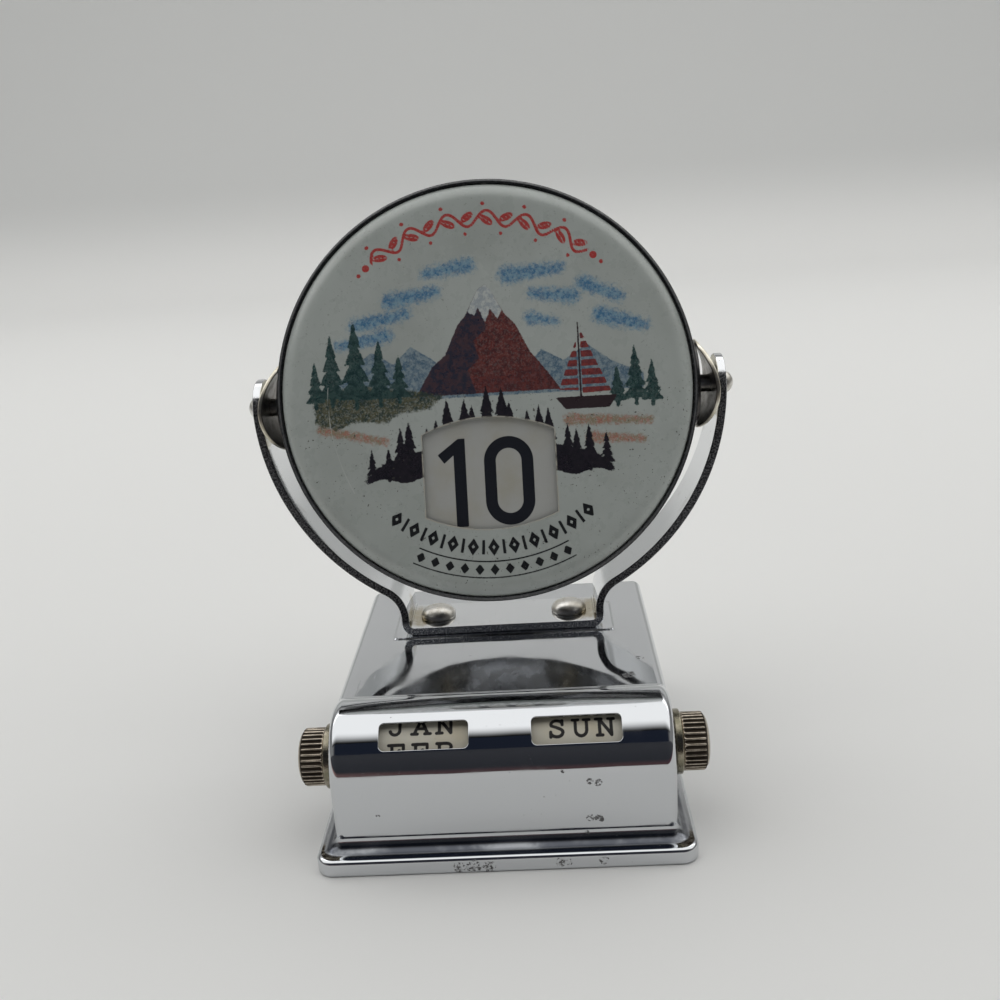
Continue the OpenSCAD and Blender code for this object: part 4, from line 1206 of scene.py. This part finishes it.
def ten(x, z):
    return union(polygon(x + 4.95, z, ONE), zero(x - 3.15, z))


def eleven(x, z):
    return union(polygon(x + 3.6, z, ONE), polygon(x - 4.3, z, ONE))


def tile_rim(xs, zs, middle_y, soft):
    """The tile's edge: a half-round outline carried round the tile, fanning out at each corner."""
    fan = np.radians(np.linspace(0, 90, 5))
    loop, out = [], []
    for side_x, side_z, facing in ((xs, zs[0], -90), (xs[-1], zs, 0), (xs[::-1], zs[-1], 90),
                                   (xs[0], zs[::-1], 180)):
        side = joined(side_x, side_z)
        a = np.radians(facing) + fan[:4]
        way = joined(np.cos(a), np.sin(a))
        loop += [side, np.repeat(side[-1:], 3, 0)]
        out += [np.repeat(way[:1], len(side), 0), way[1:]]
    loop, out = np.concatenate(loop)[:, None], np.concatenate(out)
    half_t = TILE_T / 2
    front, front_n = arc(0, -half_t + soft, soft, -90, 0, 4)
    rear, rear_n = arc(0, half_t - soft, soft, 0, 90, 4)
    line, n = np.concatenate([front, rear]), np.concatenate([front_n, rear_n])
    flat = loop + out[:, None] * line[None, :, 0:1]
    return patch(joined(flat[..., 0], middle_y + line[:, 1], flat[..., 1]),
                 joined(out[:, 0:1] * n[:, 0], n[:, 1], out[:, 1:2] * n[:, 0]), closed_rows=True)


def date_tile(place, number, way):
    """The tile at that place in the stack, a slab with rounded edges: its two faces are grids. The
    number's signed distance is kept on the face that shows, which looks to the front if way is -1;
    the other one is upside down, because it shows when the drum is turned over."""
    soft = 0.25
    middle_y = TILE_Y + TILE_T / 2 + place * TILE_PITCH
    xs = np.linspace(-TILE_HALF_W + soft, TILE_HALF_W - soft, 132)
    zs = np.linspace(-TILE_HALF_H + soft, TILE_HALF_H - soft, 114) + WINDOW_Z
    x, z = np.meshgrid(xs, zs)
    faces = [patch(joined(x, middle_y + side * TILE_T / 2, z), [0.0, side, 0]) for side in (-1, 1)]

    def values(points):
        ink = number(points[:, 0], -way * (points[:, 2] - WINDOW_Z) - DIGIT_DROP)
        shows = way * (points[:, 1] - middle_y) > 0
        return {"ink": np.where(shows, np.clip(ink, -3, 3), 3.0)}

    return [*faces, tile_rim(xs, zs, middle_y, soft)], values


# ---------- month and day bands ----------
def bow(cx, cy, rx, ry, start, stop, steps=9):
    a = np.radians(np.linspace(start, stop, steps))
    return [(cx + rx * np.cos(t), cy + ry * np.sin(t)) for t in a]


def foot(x, y, side=0.17):
    return [(x - side, y), (x + side, y)]


# each letter's strokes, in a box of width and height 1
LETTERS = {
    "A": [[(0.08, 0), (0.5, 1), (0.92, 0)], [(0.24, 0.36), (0.76, 0.36)], foot(0.1, 0), foot(0.9, 0),
          foot(0.42, 1, 0.12)],
    "B": [[(0.15, 0), (0.15, 1)], [(0, 1), *bow(0.6, 0.77, 0.27, 0.23, 90, -90), (0.15, 0.54)],
          [(0.15, 0.54), *bow(0.62, 0.27, 0.31, 0.27, 90, -90), (0, 0)]],
    "C": [[*bow(0.5, 0.5, 0.42, 0.5, 40, 320, 15)], [(0.86, 0.66), (0.86, 1.0)]],
    "D": [[(0.17, 0), (0.17, 1)], [(0, 1), *bow(0.45, 0.5, 0.46, 0.5, 90, -90, 13), (0, 0)]],
    "E": [[(0.17, 0), (0.17, 1)], [(0, 1), (0.88, 1), (0.88, 0.76)], [(0.17, 0.52), (0.6, 0.52)],
          [(0.6, 0.64), (0.6, 0.4)], [(0, 0), (0.9, 0), (0.9, 0.26)]],
    "F": [[(0.2, 0), (0.2, 1)], [(0, 1), (0.9, 1), (0.9, 0.74)], [(0.2, 0.52), (0.64, 0.52)],
          [(0.64, 0.66), (0.64, 0.38)], foot(0.2, 0, 0.22)],
    "G": [[*bow(0.48, 0.5, 0.42, 0.5, 45, 340, 15), (0.88, 0.46)], foot(0.82, 0.46, 0.2)],
    "H": [[(0.15, 0), (0.15, 1)], [(0.85, 0), (0.85, 1)], [(0.15, 0.52), (0.85, 0.52)], foot(0.15, 0),
          foot(0.15, 1), foot(0.85, 0), foot(0.85, 1)],
    "I": [[(0.5, 0), (0.5, 1)], foot(0.5, 0, 0.28), foot(0.5, 1, 0.28)],
    "J": [[(0.66, 1), (0.66, 0.3), *bow(0.37, 0.28, 0.29, 0.28, 0, -175)], foot(0.66, 1, 0.26)],
    "L": [[(0.22, 0), (0.22, 1)], [(0, 0), (0.9, 0), (0.9, 0.3)], foot(0.22, 1, 0.22)],
    "M": [[(0.1, 0), (0.1, 1), (0.5, 0.3), (0.9, 1), (0.9, 0)], foot(0.1, 0), foot(0.9, 0),
          foot(0.06, 1, 0.1), foot(0.94, 1, 0.1)],
    "N": [[(0.15, 0), (0.15, 1), (0.85, 0), (0.85, 1)], foot(0.15, 0), foot(0.1, 1), foot(0.85, 1)],
    "O": [[*bow(0.5, 0.5, 0.43, 0.5, 0, 360, 21)]],
    "P": [[(0.18, 0), (0.18, 1)], [(0, 1), *bow(0.58, 0.74, 0.31, 0.26, 90, -90), (0.18, 0.48)],
          foot(0.18, 0, 0.2)],
    "R": [[(0.15, 0), (0.15, 1)], [(0, 1), *bow(0.55, 0.76, 0.3, 0.24, 90, -90), (0.15, 0.52)],
          [(0.52, 0.52), (0.84, 0), (1, 0)], foot(0.15, 0)],
    "S": [[*bow(0.5, 0.76, 0.34, 0.24, 20, 200, 9), *bow(0.5, 0.26, 0.37, 0.26, 70, -165, 11)],
          [(0.84, 0.72), (0.84, 1.0)], [(0.13, 0.0), (0.13, 0.3)]],
    "T": [[(0.5, 0), (0.5, 1)], [(0.06, 0.72), (0.06, 1), (0.94, 1), (0.94, 0.72)], foot(0.5, 0, 0.22)],
    "U": [[(0.16, 1), (0.16, 0.35), *bow(0.5, 0.35, 0.34, 0.35, 180, 360), (0.84, 1)], foot(0.16, 1),
          foot(0.84, 1)],
    "V": [[(0.08, 1), (0.5, 0), (0.92, 1)], foot(0.1, 1), foot(0.9, 1)],
    "W": [[(0.02, 1), (0.26, 0), (0.5, 0.8), (0.74, 0), (0.98, 1)], foot(0.06, 1, 0.14),
          foot(0.94, 1, 0.14)],
    "Y": [[(0.08, 1), (0.5, 0.48), (0.92, 1)], [(0.5, 0.48), (0.5, 0)], foot(0.1, 1), foot(0.9, 1),
          foot(0.5, 0, 0.22)],
}
MONTHS = ("JAN", "FEB", "MAR", "APR", "MAY", "JUN", "JUL", "AUG", "SEP", "OCT", "NOV", "DEC")
DAYS = ("SUN", "MON", "TUE", "WED", "THU", "FRI", "SAT")
LETTER_W, LETTER_PITCH, STROKE = 2.55, 3.75, 0.26


def word(x, y, text, height):
    """Signed distance to a word of slab letters of that height, centred on the origin."""
    best = np.full(x.shape, 9.0)
    for i, letter in enumerate(text):
        left = (i - (len(text) - 1) / 2) * LETTER_PITCH - LETTER_W / 2
        for stroke in LETTERS[letter]:
            for (x0, y0), (x1, y1) in zip(stroke, stroke[1:]):
                ends = (left + x0 * LETTER_W, (y0 - 0.5) * height,
                        left + x1 * LETTER_W, (y1 - 0.5) * height)
                best = np.minimum(best, capsule(x, y, *ends, STROKE, STROKE))
    return best


def band_tube(middle):
    """A thin paper tube about the roller's axis, with its columns closer together over the words."""
    spread, steps = 5.8, 404
    stops = (BAND_X0, middle - spread, middle + spread, BAND_X1)
    xs = np.concatenate([[BAND_X0]] + [np.linspace(x0, x1, n + 1)[1:]
                                       for x0, x1, n in zip(stops, stops[1:], (4, 103, 4))])
    a = np.linspace(0, 2 * np.pi, steps, endpoint=False)[:, None]
    ring = joined(0, -np.cos(a), np.sin(a))
    skins = [patch(joined(line, -r * np.cos(a), r * np.sin(a)), way * ring, closed_rows=True)
             for r, line, way in ((BAND_IN, xs[[0, -1]], -1), (BAND_R, xs, 1))]
    wall = np.array([BAND_IN, BAND_R])
    ends = [patch(joined(x, -wall * np.cos(a), wall * np.sin(a)), [way, 0, 0], closed_rows=True)
            for x, way in ((xs[0], -1.0), (xs[-1], 1.0))]
    return skins + ends


def band_print(points, words, height, angle, middle):
    """The signed distance to the words, which are equally spaced round the band: the first one's
    middle is at the given angle above the front, and the next ones lie below."""
    turned = np.degrees(np.arctan2(points[:, 2], -points[:, 1]))
    pitch = 360 / len(words)
    steps_down = np.round((angle - turned) / pitch)
    along = np.radians(turned - angle + steps_down * pitch) * BAND_R
    ink = np.full(len(points), 9.0)
    for i, text in enumerate(words):
        here = np.mod(steps_down, len(words)) == i
        ink[here] = word(points[here, 0] - middle, along[here], text, height)
    ink[np.hypot(points[:, 1], points[:, 2]) < BAND_R - 0.05] = 9.0
    return {"ink": np.clip(ink, -2, 2)}


# ---------- studio ----------
def swept_stage(name, line, half_width, made):
    """A sheet whose side outline, rows of y and z in metres, is carried straight across."""
    x = np.linspace(-half_width, half_width, 9)
    points = joined(x, line[:, 0:1], line[:, 1:2])
    mesh = bpy.data.meshes.new(name)
    mesh.from_pydata(points.reshape(-1, 3).tolist(), [], grid_quads(len(line), 9)[:, ::-1].tolist())
    mesh.polygons.foreach_set("use_smooth", np.ones(len(mesh.polygons), bool))
    mesh.materials.append(made)
    sheet = bpy.data.objects.new(name, mesh)
    bpy.context.scene.collection.objects.link(sheet)
    return sheet


def paper_sweep():
    """A pale flat floor that bends up into a wall behind, with painted shade on the lower wall and painted
    light higher up.
    """
    paper, bend_y, bend_r = (0.80, 0.80, 0.785), 0.75, 0.4
    look = Finish("studio_paper", paper, 0.0, 0.6)
    up = look.along("Z")
    # painted shade: the wall darkens from the floor up to 0.1 m; painted light: it is paler again from 0.3
    # to 0.42 m up
    shaded_low_wall = look.mixed(up.span(0.0, 0.10), paper, (0.60, 0.605, 0.595))
    look.set(Base_Color=look.mixed(up.span(0.30, 0.42), shaded_low_wall, (0.84, 0.84, 0.83)))
    line = np.concatenate([joined(np.linspace(-2.4, bend_y, 18), 0.0),
                           arc(bend_y, bend_r, bend_r, -90, 0, 24)[0][1:],
                           joined(bend_y + bend_r, np.linspace(bend_r, 1.9, 7)[1:])])
    swept_stage("studio_sweep", line, 2.6, look.made)


def dark_card():
    """A dark card low in front that only reflections see, with a warm foot, reddest on the left."""
    look = Finish("dark_card", (0.012, 0.014, 0.022), 0.0, 0.8)
    up, across = look.along("Z"), look.along("X")
    warm = look.mixed(across.span(-0.10, -0.01), (0.42, 0.24, 0.22), (0.07, 0.03, 0.035))
    warm = look.mixed(across.span(0.02, 0.10), warm, (0.09, 0.008, 0.03))
    look.set(Base_Color=look.mixed(up.span(0.003, 0.012), warm, (0.010, 0.012, 0.020)))
    line = joined(np.linspace(-0.086, -0.42, 22), np.linspace(0.001, 0.255, 22))
    sheet = swept_stage("dark_card", line, 0.8, look.made)
    sheet.visible_camera = sheet.visible_shadow = sheet.visible_diffuse = False


def light_card():
    """The overhead light: a wide card whose glow fades towards its front and its back."""
    made = bpy.data.materials.new("light_card")
    made.use_nodes = True
    nodes = Nodes(made.node_tree)
    y = nodes.along("Y")
    fade = y.span(-0.60, -0.22, 0.0, 1.0) * y.span(0.35, 1.0, 1.0, 0.20)
    glow = nodes.add("Emission", {"Color": (1.0, 1.0, 0.99, 1), "Strength": fade * 1.28})
    nodes.put(nodes.tree.nodes["Material Output"].inputs["Surface"], glow)
    line = joined(np.linspace(1.10, -0.60, 24), 0.80)
    swept_stage("light_card", line, 1.5, made).visible_camera = False


def area_light(name, place, aim, size, power):
    data = bpy.data.lights.new(name, "AREA")
    data.shape, data.size, data.size_y = "RECTANGLE", *size
    data.energy = power
    lamp = bpy.data.objects.new(name, data)
    lamp.location = place
    lamp.rotation_euler = (Vector(aim) - Vector(place)).to_track_quat("-Z", "Y").to_euler()
    bpy.context.scene.collection.objects.link(lamp)


def dim_room():
    """The world: dim, and paler low down and at the sides."""
    world = bpy.data.worlds.new("dim_room")
    world.use_nodes = True
    nodes = Nodes(world.node_tree)
    way = nodes.add("TexCoord", {}, "Generated")
    x, z = (nodes.add("SeparateXYZ", {0: way}, axis) for axis in "XZ")
    pale = x.math("ABSOLUTE").span(0.45, 0.9).most(z.span(0.12, 0.42, 1.0, 0.0))
    back = nodes.tree.nodes["Background"].inputs
    nodes.put(back["Color"], nodes.mixed(pale, (0.014, 0.018, 0.030), (0.24, 0.24, 0.238)))
    nodes.put(back["Strength"], 1.0)
    bpy.context.scene.world = world


def studio():
    light_card()
    area_light("floor_wash", (0, 0.45, 0.75), (0, 0.62, 0.0), (2.2, 0.2), 2.0)
    area_light("wall_wash", (0, 0.70, 0.75), (0, 1.15, 0.60), (2.2, 0.12), 0.7)
    dim_room()
    paper_sweep()
    dark_card()


def camera():
    """The viewing position: a little above the base's height, close in front, leaning slightly."""
    focal_px, frame_px, sensor = 1055.9, 1000.0, 36.0
    yaw, pitch, roll = -0.0458, 0.3085, 0.0667
    place = np.array([8.996, -168.645, 103.331])
    ahead = np.array([np.sin(yaw) * np.cos(pitch), np.cos(yaw) * np.cos(pitch), -np.sin(pitch)])
    right = np.array([np.cos(yaw), -np.sin(yaw), 0])
    down = np.cross(ahead, right)
    across = np.cos(roll) * right + np.sin(roll) * down
    down = -np.sin(roll) * right + np.cos(roll) * down
    data = bpy.data.cameras.new("camera")
    data.sensor_width, data.lens = sensor, focal_px / frame_px * sensor
    data.clip_start = 0.005
    data.dof.use_dof = False
    eye = bpy.data.objects.new("camera", data)
    turned = Matrix(joined(across, -down, -ahead).tolist()).to_4x4()
    eye.matrix_world = Matrix.Translation(Vector(place * MM)) @ turned
    bpy.context.scene.collection.objects.link(eye)
    bpy.context.scene.camera = eye


# ---------- assembly ----------
def repaint(node, made):
    """Gives a CAD node that stays its finished material."""
    slots = frame["nodes"][node].data.materials
    slots.clear()
    slots.append(made)


def make_base(finish):
    build("chrome_base", base_parts(), "base", finish["chrome"], "base_shell",
          values=base_marks)
    build("chrome_yoke", yoke_parts(), "base", finish["yoke"], "yoke", values=yoke_marks)
    one = revolved(rivet(RIVET_R, RIVET_H, 0.3, 2.21, 0.8), 64)
    both = [reordered(one, [1, 2, 0], (x, YOKE_Y, FOOT_TOP + 0.02)) for x in (-RIVET_X, RIVET_X)]
    build("foot_rivets", both, "base", finish["rivet"], "yoke_rivets")


def make_knob(body, side, finish):
    build(body + "_knurled_knob", knob_parts(), body, finish["knob"], body + "_knob",
          mover(NOSE_Y, NOSE_Z, side), knob_marks)


def make_band(body, side, finish, words, height, angle, middle):
    """A printed band on its roller. The left one's tube is mirrored, but its words still read the
    right way, because each point's x is measured from the words' own middle."""
    parts = band_tube(middle)
    if side < 0:
        parts = [mirrored(p) for p in parts]

    def values(points):
        return band_print(points, words, height, angle, side * middle)

    build(body + "_printed_band", parts, body, finish["band"], body + "_band",
          mover(NOSE_Y, NOSE_Z), values)


def make_controls(finish):
    for body, side, *label in (("month", -1, MONTHS, 2.4, 60.5, 12.3), ("day", 1, DAYS, 2.6, 51.0, 12.5)):
        make_knob(body, side, finish)
        make_band(body, side, finish, *label)


def make_pivots(finish):
    pin = rivet(PIN_R, PIN_H, 0.25, PIN_X - PIN_END - PIN_TAIL, PIN_TAIL) + [PIN_X, 0]
    flat = ring_outline(FLAT_X0, FLAT_X1, FLAT_BORE, FLAT_WASHER_R, 0.15)
    for name, side in (("left", -1), ("right", 1)):
        place = mover(YOKE_Y, PIVOT_Z, side)
        build(name + "_bent_washer", bent_washer(), "base", finish["washer"],
              name + "_spring_washer", place, washer_marks)
        build(name + "_pivot_pin", [revolved(pin, 48)], "base", finish["rivet"],
              name + "_pivot_rivet", place)
        build(name + "_thin_washer", [revolved(flat, 72, closed=True)], "base", finish["dark"],
              name + "_flat_washer", place)


def make_drum(finish):
    build("drum_band", hoop_parts(), "drum", finish["hoop"], "drum_hoop", in_drum, hoop_marks)
    for name, place in (("front", in_drum), ("back", in_turned_drum)):
        build(name + "_printed_face", face_parts(), "drum", finish["enamel"],
              name + "_face", place, face_print)
    for name, place, number, way in (("front", 0, ten, -1), ("back", TILES - 1, eleven, 1)):
        parts, values = date_tile(place, number, way)
        build(name + "_number_tile", parts, "tiles", finish["tile"], name + "_date_tile",
              in_drum, values)


def finishes():
    return {
        "chrome": base_chrome(),
        "hoop": hoop_tin(),
        "yoke": yoke_chrome(),
        "rivet": aged_metal("rivet_plating", (0.74, 0.73, 0.70), (0.56, 0.53, 0.47), (0.22, 0.20, 0.16),
                            (0.30, 0.50)),
        "washer": aged_metal("washer_plating", (0.86, 0.82, 0.71), (0.68, 0.63, 0.50), (0.28, 0.24, 0.16),
                             (0.30, 0.48)),
        "knob": knob_nickel(),
        "enamel": enamel(),
        "tile": card("tile_card", (0.46, 0.465, 0.445), INK),
        "band": card("band_paper", (0.66, 0.63, 0.54), (0.022, 0.020, 0.020), 0.05),
        "blank_card": card("stack_card", (0.58, 0.58, 0.55)),
        "fibre": plain("fibreboard", (0.16, 0.085, 0.04), (0.10, 0.05, 0.025), 0.0, 0.7, 2.0, 0.05),
        "guide": plain("guide_board", (0.36, 0.27, 0.17), (0.28, 0.20, 0.12), 0.0, 0.7, 1.5, 0.04),
        "plastic": plain("roller_plastic", (0.55, 0.50, 0.40), (0.48, 0.43, 0.34), 0.0, 0.42, 4.0, 0.01),
        "dark": plain("blued_steel", (0.07, 0.07, 0.075), (0.12, 0.11, 0.10), 1.0, 0.36, 1.2, 0.02),
        "steel": plain("plain_steel", (0.46, 0.46, 0.47), (0.36, 0.35, 0.34), 1.0, 0.3, 1.8, 0.01),
        "spring": plain("spring_steel", (0.30, 0.30, 0.32), (0.22, 0.21, 0.21), 1.0, 0.28, 1.5, 0.01),
        "brass": plain("brass", (0.58, 0.42, 0.16), (0.42, 0.30, 0.12), 1.0, 0.28, 1.2, 0.01),
    }


KEPT = {
    "bottom_cover": "fibre", "centre_bracket": "steel", "middle_date_tiles": "blank_card",
    "spring_rivets": "steel",
    **{side + "_pivot_bush": "brass" for side in ("left", "right")},
    **{body + part: key for body in ("month", "day") for part, key in (
        ("_washer", "dark"), ("_shaft", "steel"), ("_roller", "plastic"), ("_spring", "spring"))},
    **{node: "guide" for node in ("left_tile_guide", "right_tile_guide", "upper_tile_stop",
                                  "lower_tile_stop")},
}


def main():
    camera()
    studio()
    finish = finishes()
    make_base(finish)
    make_controls(finish)
    make_pivots(finish)
    make_drum(finish)
    for node, key in KEPT.items():
        repaint(node, finish[key])
    bpy.context.scene.view_settings.view_transform = "Standard"


main()
